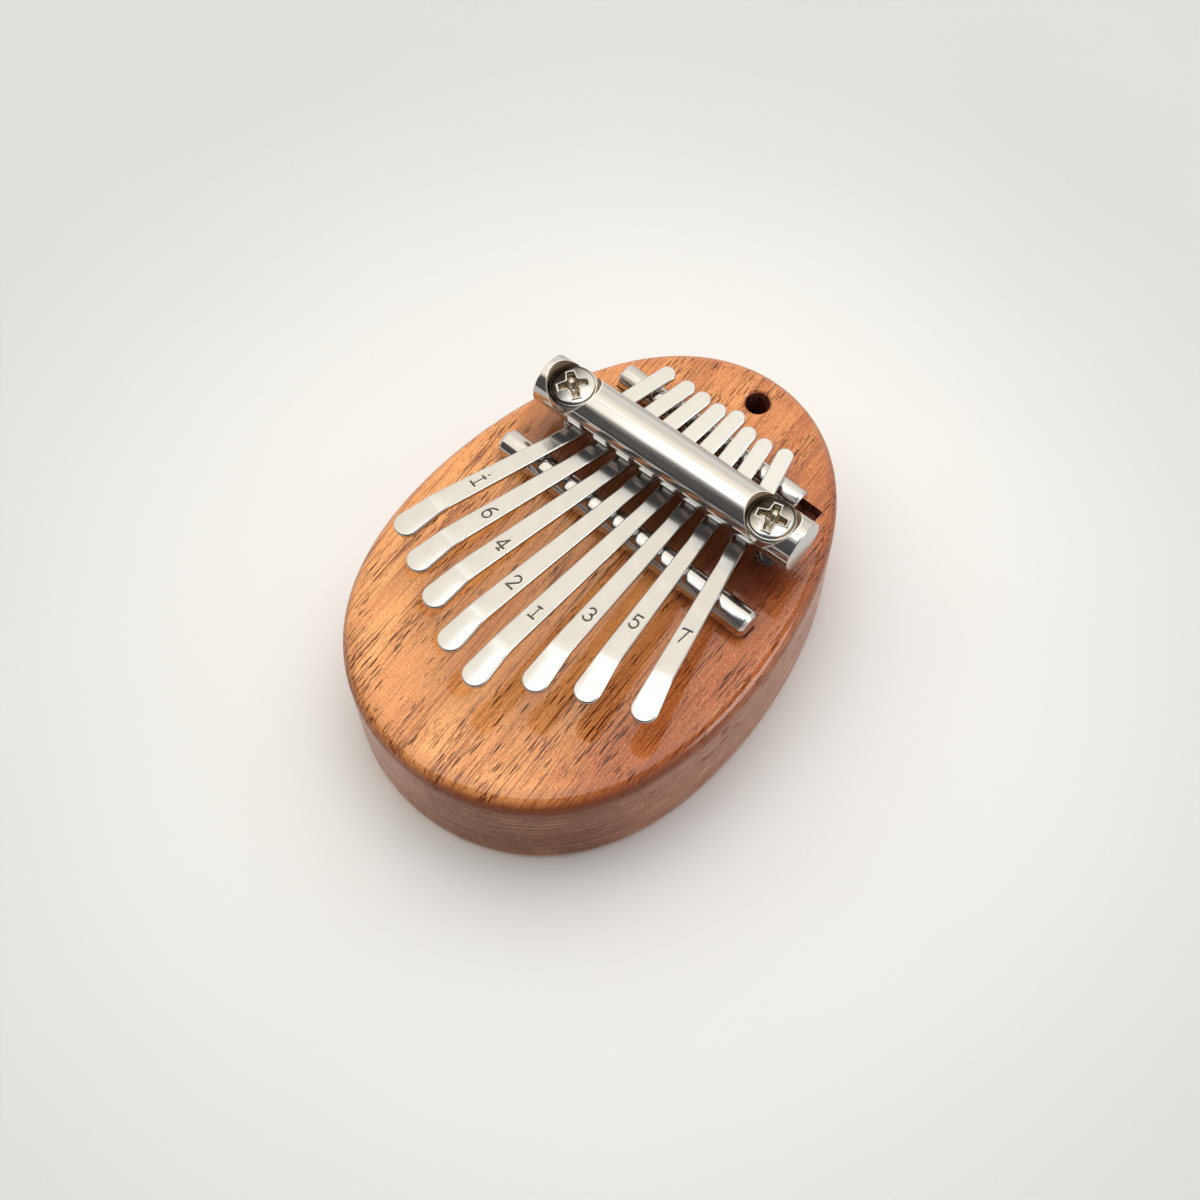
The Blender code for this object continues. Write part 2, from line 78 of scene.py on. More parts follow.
def length(name, description, default_mm):
    """A length property whose default is given in millimetres."""
    return bpy.props.FloatProperty(
        name=name, description=description, default=default_mm * MM, unit="LENGTH", precision=5
    )


def colour(name, description, default):
    """A linear colour property."""
    return bpy.props.FloatVectorProperty(
        name=name, description=description, default=default, subtype="COLOR", size=3, min=0, max=1
    )


class KalimbaBodySizes(bpy.types.PropertyGroup):
    """Sizes of the wooden body."""

    long_side: length("Length", "Length of the egg from end to end", 85.3)
    wide_side: length("Width", "Width of the egg before its fullness", 60.6)
    thick: length("Thickness", "Thickness of the wood", 20.6)
    top_round: length("Top edge radius", "Rounding of the upper edge", 2.4)
    back_round: length("Back edge radius", "Rounding of the lower edge", 1.6)
    hole: length("Hole diameter", "Diameter of the hanging hole", 3.9)
    taper: bpy.props.FloatProperty(name="Taper", description="How much the far end narrows", default=0.097)
    fullness: bpy.props.FloatProperty(name="Fullness", description="How full both ends are", default=0.108)


class KalimbaRodSizes(bpy.types.PropertyGroup):
    """Sizes of the two bridges and the clamp bar."""

    front_diameter: length("Front bridge diameter", "Diameter of the front bridge", 4.6)
    front_length: length("Front bridge length", "Length of the front bridge", 48.2)
    rear_diameter: length("Rear bridge diameter", "Diameter of the rear bridge", 4.0)
    rear_length: length("Rear bridge length", "Length of the rear bridge", 35.2)
    clamp_diameter: length("Clamp bar diameter", "Diameter of the clamp bar", 8.0)
    clamp_length: length("Clamp bar length", "Length of the clamp bar", 47.3)
    seat_diameter: length("Seat diameter", "Diameter of the screw seats", 8.2)
    askew: bpy.props.FloatProperty(
        name="Askew", description="Turn of the clamp bar in plan", default=math.radians(2.8), subtype="ANGLE"
    )


class KalimbaKeySizes(bpy.types.PropertyGroup):
    """Sizes of the spring keys."""

    thick: length("Thickness", "Thickness of the key strip", 0.9)
    edge_round: length("Edge radius", "Rounding of the key's upper edge", 0.26)
    tip_width: length("Tip width", "Width of the playing end", 4.05)
    stamp_depth: length("Stamp depth", "Depth of the stamped numerals", 0.14)


class KalimbaColours(bpy.types.PropertyGroup):
    """Colours of the finishes, in linear values."""

    wood_light: colour("Light wood", "Pale bands of the wood", (1.0, 0.445, 0.145))
    wood_dark: colour("Dark wood", "Red-brown bands of the wood", (0.46, 0.118, 0.030))
    pore: colour("Pores", "Short open pores in the wood", (0.060, 0.014, 0.006))
    # Cut wood colour: used as it is and much darker inside the cuts, the darker share being painted shade
    inside: colour("Cut wood", "Bare wood inside the holes and the slot", (0.17, 0.055, 0.036))
    steel: colour("Polished steel", "Bridges and clamp bar", (0.59, 0.575, 0.565))
    key_steel: colour("Key steel", "Satin spring keys", (0.565, 0.56, 0.555))
    nickel: colour("Nickel", "Screw heads", (0.60, 0.59, 0.57))
    soot: colour("Stamp", "Bottoms of the stamped numerals", (0.10, 0.088, 0.072))
    floor: colour("Floor", "Pale studio floor", (0.79, 0.80, 0.81))


# Mesh helpers


def coords(*parts):
    """Arrays of one coordinate each, spread to one shape and joined along a new last axis."""
    return np.stack(np.broadcast_arrays(*parts), axis=-1)


def eased(share):
    """Smooth step of a share between 0 and 1."""
    return share * share * (3 - 2 * share)


def chained(start, *legs):
    """Evenly spaced stations from start through the legs, each given as its end and its count."""
    stations = [np.array([start])]
    for end, count in legs:
        stations.append(np.linspace(start, end, count)[1:])
        start = end
    return np.concatenate(stations)


def read(items, attribute, width, kind=np.float32):
    """One attribute of every item of a mesh, as an array with a row for each item."""
    values = np.zeros(len(items) * width, kind)
    items.foreach_get(attribute, values)
    return values.reshape(-1, width).squeeze()


def smooth(mesh, degrees):
    """Shade a mesh smooth up to an angle between its faces."""
    mesh.shade_smooth()
    mesh.set_sharp_from_angle(angle=math.radians(degrees))


def mesh_object(name, points_mm, faces, smooth_deg=30.0):
    """Object at the origin from points in millimetres and faces as index arrays, pointing outwards."""
    mesh = bpy.data.meshes.new(name)
    corners = [face for block in faces for face in block.tolist()]
    mesh.from_pydata((np.asarray(points_mm) * MM).tolist(), [], corners)
    mesh.validate()
    smooth(mesh, smooth_deg)
    obj = bpy.data.objects.new(name, mesh)
    bpy.context.scene.collection.objects.link(obj)
    return obj


def ring_quads(rows, columns):
    """Quads between neighbouring closed rings of points."""
    index = np.arange(rows * columns).reshape(rows, columns)
    right = np.roll(index, -1, axis=1)
    return coords(index[:-1], right[:-1], right[1:], index[1:]).reshape(-1, 4)


def closed_rings(name, rings, first, last, smooth_deg=30.0, downward=False):
    """Closed surface through rings of points, an array (rows, columns, 3), with a fan of triangles to a pole
    before the first ring and after the last. The rings run upwards, or downward."""
    rows, columns = rings.shape[:2]
    points = np.concatenate([rings.reshape(-1, 3), [first, last]])
    start = np.arange(columns)[::-1]
    end = np.arange(columns) + (rows - 1) * columns
    faces = [
        ring_quads(rows, columns),
        coords(start, np.roll(start, -1), len(points) - 2),
        coords(end, np.roll(end, -1), len(points) - 1),
    ]
    if downward:
        faces = [block[:, ::-1] for block in faces]
    return mesh_object(name, points, faces, smooth_deg)


def point_attribute(obj, name, values):
    """Store one number per vertex for the materials to read."""
    layer = obj.data.attributes.new(name, "FLOAT", "POINT")
    layer.data.foreach_set("value", np.asarray(values, np.float32))


def turned(name, profile, columns):
    """Surface of revolution about +Z. Each profile pair (r, z), from low z to high z, becomes a ring
    (r cos a, r sin a, z); the first and the last pair have r = 0 and become the poles."""
    profile = np.asarray(profile, float)
    r, z = profile[1:-1, :1], profile[1:-1, 1:]
    angle = np.arange(columns) * TAU / columns
    rings = coords(r * np.cos(angle), r * np.sin(angle), z)
    return closed_rings(name, rings, (0, 0, profile[0, 1]), (0, 0, profile[-1, 1]))


def drum(name, radius, low, high, columns, placement):
    """Closed cylinder about Z between two heights, then moved to its place."""
    obj = turned(name, [(0, low), (radius, low), (radius, high), (0, high)], columns)
    move_mesh(obj, placement)
    return obj


def rod_profile(end, side_z):
    """Half outline of a rod along Z: the outline of its upper end, given from the axis outwards and mirrored
    for the lower end, with rings at the side heights between."""
    r, z = end[-1, 0], end[0, 1]
    return np.concatenate([[(0, -z)], end * [1, -1], coords(r, side_z), end[::-1], [(0, z)]])


def chamfered_end(r, half, chamfer, ease=0.12):
    """Outline of a rod's end: a chamfer whose two corners are each rounded by a parabola."""
    step = np.linspace(0, 1, 5)
    late, early = ease * step**2, ease * (1 - step) ** 2
    inner = coords(r - chamfer - early + 0.7 * late, half - 0.7 * late)
    outer = coords(r - 0.7 * early, half - chamfer + 0.7 * early - late)
    return np.concatenate([inner, outer])


def move_mesh(obj, matrix):
    """Bake a placement, in millimetres, into a mesh; the object stays at the origin."""
    scaled = matrix.copy()
    scaled.translation = matrix.translation * MM
    obj.data.transform(scaled)


def lay_along_x(centre, turn=0.0):
    """Placement that lays a rod along X about a centre, turned in plan."""
    lying = Matrix.Rotation(turn, 4, "Z") @ Matrix.Rotation(math.pi / 2, 4, "Y")
    return Matrix.Translation(Vector(centre)) @ lying


def carve(obj, cutters):
    """Subtract closed cutter objects, apply the result to the mesh and remove the cutters."""
    for cutter in cutters:
        modifier = obj.modifiers.new(cutter.name, "BOOLEAN")
        modifier.operation = "DIFFERENCE"
        modifier.solver = "EXACT"
        modifier.object = cutter
    settle(obj)
    obj.data.materials.clear()
    for cutter in cutters:
        bpy.data.objects.remove(cutter, do_unlink=True)


def settle(obj):
    """Replace the mesh with its evaluated form and drop the modifiers."""
    bpy.context.view_layer.update()
    graph = bpy.context.evaluated_depsgraph_get()
    mesh = bpy.data.meshes.new_from_object(obj.evaluated_get(graph))
    obj.modifiers.clear()
    obj.data = mesh


# Material helpers


def look(name, share=1.0):
    """A colour setting, brightened or darkened by a share."""
    return tuple(part * share for part in getattr(bpy.context.scene.kalimba_colours, name))


class Shade:
    """A material with one Principled shader, or another node tree, and short calls that add nodes to it."""

    def __init__(self, name, tree=None):
        if tree is None:
            self.material = bpy.data.materials.new(name)
            self.material.use_nodes = True
            tree = self.material.node_tree
            self.shader = tree.nodes["Principled BSDF"]
        self.tree = tree

    def node(self, kind, inputs=None, **settings):
        """Add a node, with its settings, and feed its inputs by number or name."""
        made = self.tree.nodes.new(kind)
        for key, value in settings.items():
            setattr(made, key, value)
        for key, value in (inputs or {}).items():
            self.feed(made.inputs[key], value)
        return made

    def feed(self, socket, value):
        """Link a socket to an output, or set it to a constant."""
        if isinstance(value, bpy.types.NodeSocket):
            self.tree.links.new(value, socket)
        else:
            socket.default_value = value

    def set(self, **values):
        """Feed the shader's inputs; an underscore stands for a space."""
        for key, value in values.items():
            self.feed(self.shader.inputs[key.replace("_", " ")], value)

    def math(self, operation, a, b=0.0, c=0.0, clamp=False):
        """Result of one operation on up to three values."""
        made = self.node("ShaderNodeMath", {0: a, 1: b, 2: c}, operation=operation, use_clamp=clamp)
        return made.outputs[0]

    def times(self, a, b, plus=0.0, clamp=False):
        """The product of two values, plus a third."""
        return self.math("MULTIPLY_ADD", a, b, plus, clamp)

    def highest(self, a, b):
        """The greater of two values."""
        return self.math("MAXIMUM", a, b)

    def vector_math(self, operation, a, b=(0, 0, 0)):
        """Outputs of one operation on two vectors."""
        return self.node("ShaderNodeVectorMath", {0: a, 1: b}, operation=operation).outputs

    def place(self, scale=(1, 1, 1), location=(0, 0, 0), turn=(0, 0, 0), source=None):
        """Object coordinates, or those of a source, turned, scaled and moved."""
        if source is None:
            source = self.node("ShaderNodeTexCoord").outputs["Object"]
        inputs = {"Vector": source, "Location": location, "Rotation": turn, "Scale": scale}
        return self.node("ShaderNodeMapping", inputs).outputs[0]

    def xyz(self, vector):
        """The three parts of a vector."""
        return self.node("ShaderNodeSeparateXYZ", {0: vector}).outputs

    def distance(self, x, y, spot):
        """Distance in plan from a spot given in millimetres."""
        dx = self.math("SUBTRACT", x, spot[0] * MM)
        dy = self.math("SUBTRACT", y, spot[1] * MM)
        return self.math("SQRT", self.times(dx, dx, self.times(dy, dy)))

    def noise(self, vector, detail=2.0, roughness=0.5, distortion=0.0, scale=1.0):
        """Cloudy noise between 0 and 1."""
        inputs = {"Vector": vector, "Scale": scale, "Detail": detail, "Roughness": roughness}
        inputs["Distortion"] = distortion
        return self.node("ShaderNodeTexNoise", inputs).outputs["Fac"]

    def ramp(self, value, low, high, top=1.0, bottom=0.0):
        """Smooth rise from bottom to top while a value goes from low to high."""
        inputs = {"Value": value, "From Min": low, "From Max": high, "To Min": bottom, "To Max": top}
        return self.node("ShaderNodeMapRange", inputs, interpolation_type="SMOOTHSTEP").outputs["Result"]

    def mix(self, share, a, b, blend="MIX"):
        """Blend of two colours, each a socket or a triple."""
        made = self.node("ShaderNodeMix", data_type="RGBA", blend_type=blend)
        self.feed(made.inputs["Factor"], share)
        for key, value in (("A", a), ("B", b)):
            self.feed(made.inputs[key], value if isinstance(value, bpy.types.NodeSocket) else (*value, 1.0))
        return made.outputs["Result"]

    def attribute(self, name):
        """The value stored on the mesh under a name."""
        return self.node("ShaderNodeAttribute", attribute_name=name, attribute_type="GEOMETRY").outputs["Fac"]

    def bump(self, height, distance, strength):
        """Normal tilted by a height."""
        inputs = {"Height": height, "Distance": distance, "Strength": strength}
        return self.node("ShaderNodeBump", inputs).outputs["Normal"]

    def wear(self, vector, line_scale, seed=0.0):
        """The shared wear of the steel finishes, as its Lines, Smears and Specks."""
        inputs = {"Vector": vector, "Line Scale": line_scale, "Seed": seed}
        return self.node("ShaderNodeGroup", inputs, node_tree=metal_wear_group()).outputs


def metal_wear_group():
    """Fine drawing lines, soft handling smears and specks, shared by every steel finish."""
    if "metal wear" in bpy.data.node_groups:
        return bpy.data.node_groups["metal wear"]
    tree = bpy.data.node_groups.new("metal wear", "ShaderNodeTree")
    for label, kind in (("Vector", "Vector"), ("Line Scale", "Float"), ("Seed", "Float")):
        tree.interface.new_socket(name=label, in_out="INPUT", socket_type="NodeSocket" + kind)
    for label in ("Lines", "Smears", "Specks"):
        tree.interface.new_socket(name=label, in_out="OUTPUT", socket_type="NodeSocketFloat")
    shade = Shade("metal wear", tree)
    given, made = shade.node("NodeGroupInput").outputs, shade.node("NodeGroupOutput").inputs
    vector = given["Vector"]
    stretched = shade.vector_math("MULTIPLY", vector, (150.0, 12000.0, 12000.0))[0]
    shifted = shade.vector_math("ADD", stretched, given["Seed"])[0]
    shade.feed(made["Lines"], shade.noise(shifted, 3.0, 0.6, scale=given["Line Scale"]))
    shade.feed(made["Smears"], shade.noise(vector, 3.0, 0.55, 0.6, scale=320.0))
    shade.feed(made["Specks"], shade.ramp(shade.noise(vector, scale=5200.0), 0.66, 0.74))
    return tree


# Wood


def egg_outline(sizes, count):
    """Plan outline: y = L/2 sin a, and x = W/2 cos a times (1 - taper sin a + fullness sin^2 a)."""
    angle = np.arange(count) * TAU / count
    along = np.sin(angle)
    x = sizes.wide_side / MM / 2 * np.cos(angle) * (1 - sizes.taper * along + sizes.fullness * along**2)
    return coords(x, sizes.long_side / MM / 2 * along)


def outward(outline):
    """Unit normals of a closed plan outline, a quarter turn from its central differences."""
    tangent = np.roll(outline, -1, axis=0) - np.roll(outline, 1, axis=0)
    normal = coords(tangent[:, 1], -tangent[:, 0])
    return normal / np.linalg.norm(normal, axis=1, keepdims=True)


def body_surface(sizes, count=288):
    """Closed slab. Ring k is the egg outline moved inwards by an inset and set at a height: the inset and
    height run round a quarter circle at the back edge, up the wall, and round a quarter circle at the top
    edge; inside that the rings shrink towards the middle of each flat face. Also stored are the shares of
    wall and of rounded upper edge."""
    outline = egg_outline(sizes, count)
    normal = outward(outline)
    thick, top, back = sizes.thick / MM, sizes.top_round / MM, sizes.back_round / MM
    turn = np.linspace(0, math.pi / 2, 10)
    insets = np.concatenate([back * (1 - np.sin(turn)), np.zeros(9), top * (1 - np.cos(turn))])
    straight = np.linspace(back, thick - top, 11)[1:-1]
    heights = np.concatenate([back * (1 - np.cos(turn)), straight, thick - top + top * np.sin(turn)])
    face_rings = 12
    shrink = np.linspace(0.97, 0.05, face_rings)[:, None, None]
    back_face, top_face = (outline - back * normal) * shrink[::-1], (outline - top * normal) * shrink
    plan = np.concatenate([back_face, outline - insets[:, None, None] * normal, top_face])
    z = np.concatenate([np.zeros(face_rings), heights, np.full(face_rings, thick)])
    points = coords(plan[..., 0], plan[..., 1], z[:, None])
    body = closed_rings("lacquered_body", points, (0, 0, 0), (0, 0, thick), 40.0)
    wall = eased(np.clip(np.minimum(z, thick - z) / 2.0, 0, 1))
    edge = np.exp(-((z - thick + 1.3) ** 2) / 1.5)
    edge[-face_rings:] = 0
    for name, values in (("wall", wall), ("edge_band", edge)):
        point_attribute(body, name, np.append(np.repeat(values, count), (0, 0)))
    return body


def straight_cutter(name, low, high):
    """Box between two corners, in millimetres: the eight products of the low and high coordinates."""
    grid = np.array(np.meshgrid(*zip(low, high), indexing="ij")).reshape(3, -1).T
    faces = np.array([(0, 1, 3, 2), (4, 6, 7, 5), (0, 4, 5, 1), (2, 3, 7, 6), (0, 2, 6, 4), (1, 5, 7, 3)])
    return mesh_object(name, grid, [faces])


def dashes(shade, source, scale, seed, low, high, spread):
    """Short lens-shaped marks: stretched cells in which only the middle, of a random size, is marked. The
    size also follows a slow drift, so that the marks crowd together in some places."""
    vector = shade.place(scale, seed, source=source)
    cells = shade.node("ShaderNodeTexVoronoi", {"Vector": vector, "Scale": 1.0, "Randomness": 1.0}).outputs
    size = shade.node("ShaderNodeSeparateColor", {0: cells["Color"]}).outputs["Red"]
    reach = shade.math("ADD", shade.times(size, high - low, low), spread)
    return shade.times(shade.math("SUBTRACT", reach, cells["Distance"]), 34.0, clamp=True)


def inside_cuts(shade, x, y, z, rods):
    """One inside the hanging hole, the rear slot, the front groove and the pilot holes; zero elsewhere."""

    def near(value, centre, reach):
        offset = shade.math("ABSOLUTE", shade.math("SUBTRACT", value, centre * MM))
        return shade.math("LESS_THAN", offset, reach * MM)

    def disc(spot):
        return shade.math("LESS_THAN", shade.distance(x, y, spot), 2.1 * MM)

    def below(depth):
        return shade.math("LESS_THAN", z, (BODY_TOP - depth) * MM)

    slot = shade.times(near(x, 0.55, 19.5), near(y, REAR_Y, SLOT_HALF + 0.2))
    cuts = shade.highest(slot, shade.times(near(x, 0.0, 25.0), near(y, FRONT_Y, 2.6)))
    for side in (-1, 1):
        cuts = shade.highest(cuts, disc(screw_place(side, rods)))
    return shade.highest(shade.times(cuts, below(0.10)), shade.times(disc((0.0, HOLE_Y)), below(0.25)))


def wood_figure(shade, bent, x, y):
    """Figure of the wood: drifting bands that turn redder to the right, fibres, dark streaks in crowds, a
    fine granular figure, long marks and short open pores. Gives the colour, fibres, grains and pores."""

    def grain(scale, seed=(0, 0, 0), *details):
        return shade.noise(shade.place(scale, seed, source=bent), *details)

    light, dark = look("wood_light"), look("wood_dark")
    band = shade.ramp(grain((330, 22, 60), (0, 0, 0), 3.0, 0.55, 0.5), 0.44, 0.72, 0.50)
    drift = shade.ramp(grain((80, 18, 40), (3, 1, 0), 1.0), 0.46, 0.70, 0.30)
    redder = shade.times(shade.ramp(x, 0.008, 0.024, 0.92), shade.ramp(y, -0.040, -0.024))
    share = shade.math("ADD", shade.math("ADD", band, drift), shade.ramp(y, 0.008, 0.036, 0.46))
    base = shade.mix(shade.math("ADD", share, redder, clamp=True), light, dark)
    base = shade.mix(shade.times(redder, 0.36), base, (0.50, 0.088, 0.006))
    fibre = grain((4300, 240, 900), (0, 0, 0), 3.0, 0.62)
    base = shade.mix(shade.ramp(fibre, 0.46, 0.72, 0.40), base, dark)
    base = shade.mix(shade.ramp(fibre, 0.50, 0.30, 0.30), base, (1.0, 0.50, 0.19))

    streaks = shade.ramp(grain((3300, 72, 300), (5, 2, 1), 1.0, 0.5, 0.3), 0.57, 0.65)
    crowd = shade.ramp(grain((120, 30, 60), (7, 7, 3)), 0.36, 0.62, 0.9, 0.25)
    base = shade.mix(shade.times(streaks, crowd), base, (0.19, 0.040, 0.012))
    grainy = grain((4600, 3000, 3000), (0, 0, 0), 2.0, 0.6)
    coarse = shade.times(shade.ramp(grainy, 0.49, 0.62), shade.times(redder, 0.34, 0.38))
    base = shade.mix(coarse, base, dark)
    base = shade.mix(shade.ramp(grainy, 0.48, 0.36, 0.26), base, (1.0, 0.52, 0.22))

    spread = shade.ramp(grain((150, 70, 90), (3, 9, 4)), 0.34, 0.62, -0.01, -0.26)
    spread = shade.times(shade.attribute("edge_band"), shade.ramp(y, -0.026, -0.036, 0.11), spread)
    spread = shade.times(redder, 0.06, spread)
    short = dashes(shade, bent, (3200, 290, 900), (9, 4, 2), -0.04, 0.42, spread)
    fine = dashes(shade, bent, (5200, 560, 1500), (2, 8, 5), -0.02, 0.42, spread)
    long = dashes(shade, bent, (4300, 80, 1000), (4, 1, 6), 0.08, 0.45, spread)
    base = shade.mix(shade.times(long, 0.9), base, (0.15, 0.032, 0.012))
    pores = shade.highest(short, shade.times(fine, 0.6))
    return shade.mix(pores, base, look("pore")), fibre, grainy, pores


def turned_wall(shade, z, fibre, end):
    """Colour of the turned wall: level lines, partly random and partly in an even pitch that wanders, broken
    into patches. The near end is darker, partly as its end grain and mostly as painted shade on the side away
    from the light, and painted contact shade darkens it most low down."""
    wander = shade.noise(shade.place((22, 22, 420)), 1.0)
    phase = shade.times(z, TAU / (0.52 * MM), shade.times(wander, 16.0))
    lines = shade.times(shade.math("SINE", phase), 0.13, shade.noise(shade.place((40, 40, 2350)), 0.0))
    patchy = shade.noise(shade.place((300, 300, 300)))
    lined = shade.times(shade.ramp(lines, 0.48, 0.64), shade.ramp(patchy, 0.35, 0.65, 1.0, 0.3))
    # Painted shade: the wall darkens towards its near end, away from the light, partly as its darker end
    # grain
    wall = shade.mix(end, (0.27, 0.086, 0.036), (0.085, 0.016, 0.009))
    wall = shade.mix(shade.ramp(fibre, 0.48, 0.70, 0.35), wall, (0.15, 0.045, 0.020))
    pale = shade.mix(end, (0.60, 0.32, 0.19), (0.34, 0.16, 0.092))
    wall = shade.mix(shade.times(lined, 0.80), wall, pale)
    # Painted contact shade: the near end of the wall darkens further low down, towards the floor
    low = shade.times(end, shade.ramp(z, 0.014, 0.002, 0.42))
    return shade.mix(low, wall, (0.050, 0.010, 0.006))


def wood_material(rods):
    """Gloss-lacquered hardwood: the figure on top, the turned lines on the wall, painted shade on the near
    end of the wall, a darker rounded edge with painted shade at the near corner, a painted shadow under the
    clamp bar, and unlacquered wood inside the cuts, darkened further as painted shade. The lacquer thins on
    the wall, in the pores and in the cuts."""
    shade = Shade("lacquered wood")
    bent = shade.place(turn=(0, 0, -math.radians(5)))
    x, y, z = shade.xyz(shade.place())
    base, fibre, grainy, pores = wood_figure(shade, bent, x, y)
    wall = shade.attribute("wall")
    corner = shade.times(shade.ramp(x, -0.006, 0.014), shade.ramp(y, 0.0, -0.020))
    # This near-end mask carries painted shade on the wall facing away from the light
    end = shade.times(corner, shade.ramp(y, -0.020, -0.033, 0.9))
    base = shade.mix(shade.times(wall, 0.85), base, turned_wall(shade, z, fibre, end))
    # Darker rounded edge; at the near corner painted shade deepens it further
    edge = shade.times(shade.attribute("edge_band"), shade.times(corner, 0.50, 0.42))
    base = shade.mix(edge, base, (0.17, 0.036, 0.012))

    # Painted shadow: the wood between the rods under the clamp bar is darkened, as the shade the bar casts
    under = shade.times(shade.ramp(y, 0.005, 0.010), shade.ramp(y, 0.022, 0.016))
    under = shade.times(under, shade.ramp(shade.math("ABSOLUTE", x), 0.028, 0.020, 0.84))
    base = shade.mix(under, base, (0.10, 0.018, 0.010))
    cut = inside_cuts(shade, x, y, z, rods)
    # Unlacquered cut wood; its darker share is painted shade in the holes, groove and slot
    bare_wood_and_shade = shade.mix(shade.ramp(fibre, 0.4, 0.62), look("inside", 1.7), look("inside", 0.3))
    shade.set(Base_Color=shade.mix(cut, base, bare_wood_and_shade), Specular_IOR_Level=0.05)

    relief = shade.math("SUBTRACT", shade.times(grainy, 0.5), pores)
    shade.set(Roughness=shade.ramp(grainy, 0.3, 0.7, 0.6, 0.40), Normal=shade.bump(relief, 0.00008, 0.7))
    coat = shade.times(shade.times(end, wall), -0.18, shade.times(wall, -0.5, 1.0))
    coat = shade.times(pores, -0.5, shade.times(cut, -0.75, coat), clamp=True)
    shade.set(Coat_Weight=coat, Coat_Roughness=0.05, Coat_IOR=1.5)
    return shade.material


class KALIMBA_OT_body(bpy.types.Operator):
    """Build the lacquered wooden body with its hanging hole, groove, slot and screw holes"""

    bl_idname = "kalimba.body"
    bl_label = "Wooden body"

    def execute(self, context):
        sizes, rods = context.scene.kalimba_body, context.scene.kalimba_rods
        body = body_surface(sizes)
        thick, hole, soft, over = sizes.thick / MM, sizes.hole / MM / 2, 0.35, 2
        wide = hole + soft
        profile = [(0, -over), (wide, -over), (wide, 0), (hole, soft)]
        profile += [(hole, thick - soft), (wide, thick), (wide, thick + over), (0, thick + over)]
        hanging = turned("hanging_hole", profile, 72)
        move_mesh(hanging, Matrix.Translation((0, HOLE_Y, 0)))
        front, half = rods.front_diameter / MM / 2 + 0.12, rods.front_length / MM / 2 + 0.15
        groove = drum("front_groove", front, -half, half, 96, lay_along_x((0, FRONT_Y, thick + 2.0)))
        low, high = (-18.65, REAR_Y - SLOT_HALF, thick - SLOT_DEPTH), (19.8, REAR_Y + SLOT_HALF, thick + over)
        slot = straight_cutter("rear_slot", low, high)
        spots = [Matrix.Translation((*screw_place(side, rods), 0)) for side in (-1, 1)]
        pilots = [drum("pilot", 1.8, thick - 9, thick + over, 48, spot) for spot in spots]
        carve(body, [hanging, groove, slot, *pilots])
        body.data.materials.append(wood_material(rods))
        smooth(body.data, 30)
        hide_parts("body_wood")
        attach(body, "body")
        return {"FINISHED"}


# Rods


def bridge_material():
    """Polished steel with faint drawing lines along the rod and soft smears in its gloss."""
    shade = Shade("polished bridge")
    wear = shade.wear(shade.place(), 0.12)
    lines = shade.ramp(wear["Lines"], 0.35, 0.75, 0.3)
    rough = shade.times(wear["Lines"], 0.06, shade.times(wear["Smears"], 0.10, 0.05))
    shade.set(Base_Color=shade.mix(lines, look("steel"), look("steel", 0.80)), Metallic=1.0)
    shade.set(Roughness=rough, Normal=shade.bump(wear["Lines"], 0.000012, 0.3))
    return shade.material


class KALIMBA_OT_bridges(bpy.types.Operator):
    """Build the two chamfered bridge rods"""

    bl_idname = "kalimba.bridges"
    bl_label = "Bridges"

    def execute(self, context):
        rods = context.scene.kalimba_rods
        polished = bridge_material()
        for name, diameter, size, chamfer, node in (
            ("front_bridge_rod", rods.front_diameter, rods.front_length, 0.6, "front_bridge"),
            ("rear_bridge_rod", rods.rear_diameter, rods.rear_length, 0.4, "rear_bridge"),
        ):
            low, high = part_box(node)
            half = size / MM / 2
            inner = half - chamfer - 2
            end = chamfered_end(diameter / MM / 2, half, chamfer)
            rod = turned(name, rod_profile(end, np.linspace(-inner, inner, 9)), 160)
            move_mesh(rod, lay_along_x((low + high) / 2 / MM))
            rod.data.materials.append(polished)
            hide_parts(node)
            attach(rod, "body")
        return {"FINISHED"}


def screw_place(side, rods):
    """Plan position of a clamp screw on the askew line of the bar, inset 5.0 or 5.6 mm from its end."""
    along = side * (rods.clamp_length / MM / 2 - (5.0 if side < 0 else 5.6))
    return along * math.cos(rods.askew), CLAMP_Y + along * math.sin(rods.askew)


def true_normals(bar, rods, centre):
    """Give the turned outside its exact radial normals, and each seat wall the seat's own radius."""
    mesh = bar.data
    smooth(mesh, 30)
    normals = read(mesh.corner_normals, "vector", 3).astype(float)
    vertex = read(mesh.loops, "vertex_index", 1, np.int32)
    points = read(mesh.vertices, "co", 3)[vertex] / MM - np.array(centre)
    totals = read(mesh.polygons, "loop_total", 1, np.int32)
    flat = np.repeat(read(mesh.polygons, "normal", 3), totals, axis=0)

    def correct(offsets, radius, facing, closeness):
        """Turn the normals of the faces that follow a radius towards facing times their offset."""
        far = np.linalg.norm(offsets, axis=1)
        wanted = facing * offsets / np.maximum(far, 1e-6)[:, None]
        chosen = (np.abs(far - radius) < 0.01) & ((wanted * flat).sum(1) > closeness)
        normals[chosen] = wanted[chosen]

    axis = np.array([math.cos(rods.askew), math.sin(rods.askew), 0])
    correct(points - (points @ axis)[:, None] * axis, rods.clamp_diameter / MM / 2, 1, 0.995)
    for side in (-1, 1):
        spot = np.array([*screw_place(side, rods), centre.z]) - np.array(centre)
        correct((points - spot) * [1, 1, 0], rods.seat_diameter / MM / 2, -1, 0.99)
    mesh.normals_split_custom_set(normals.tolist())


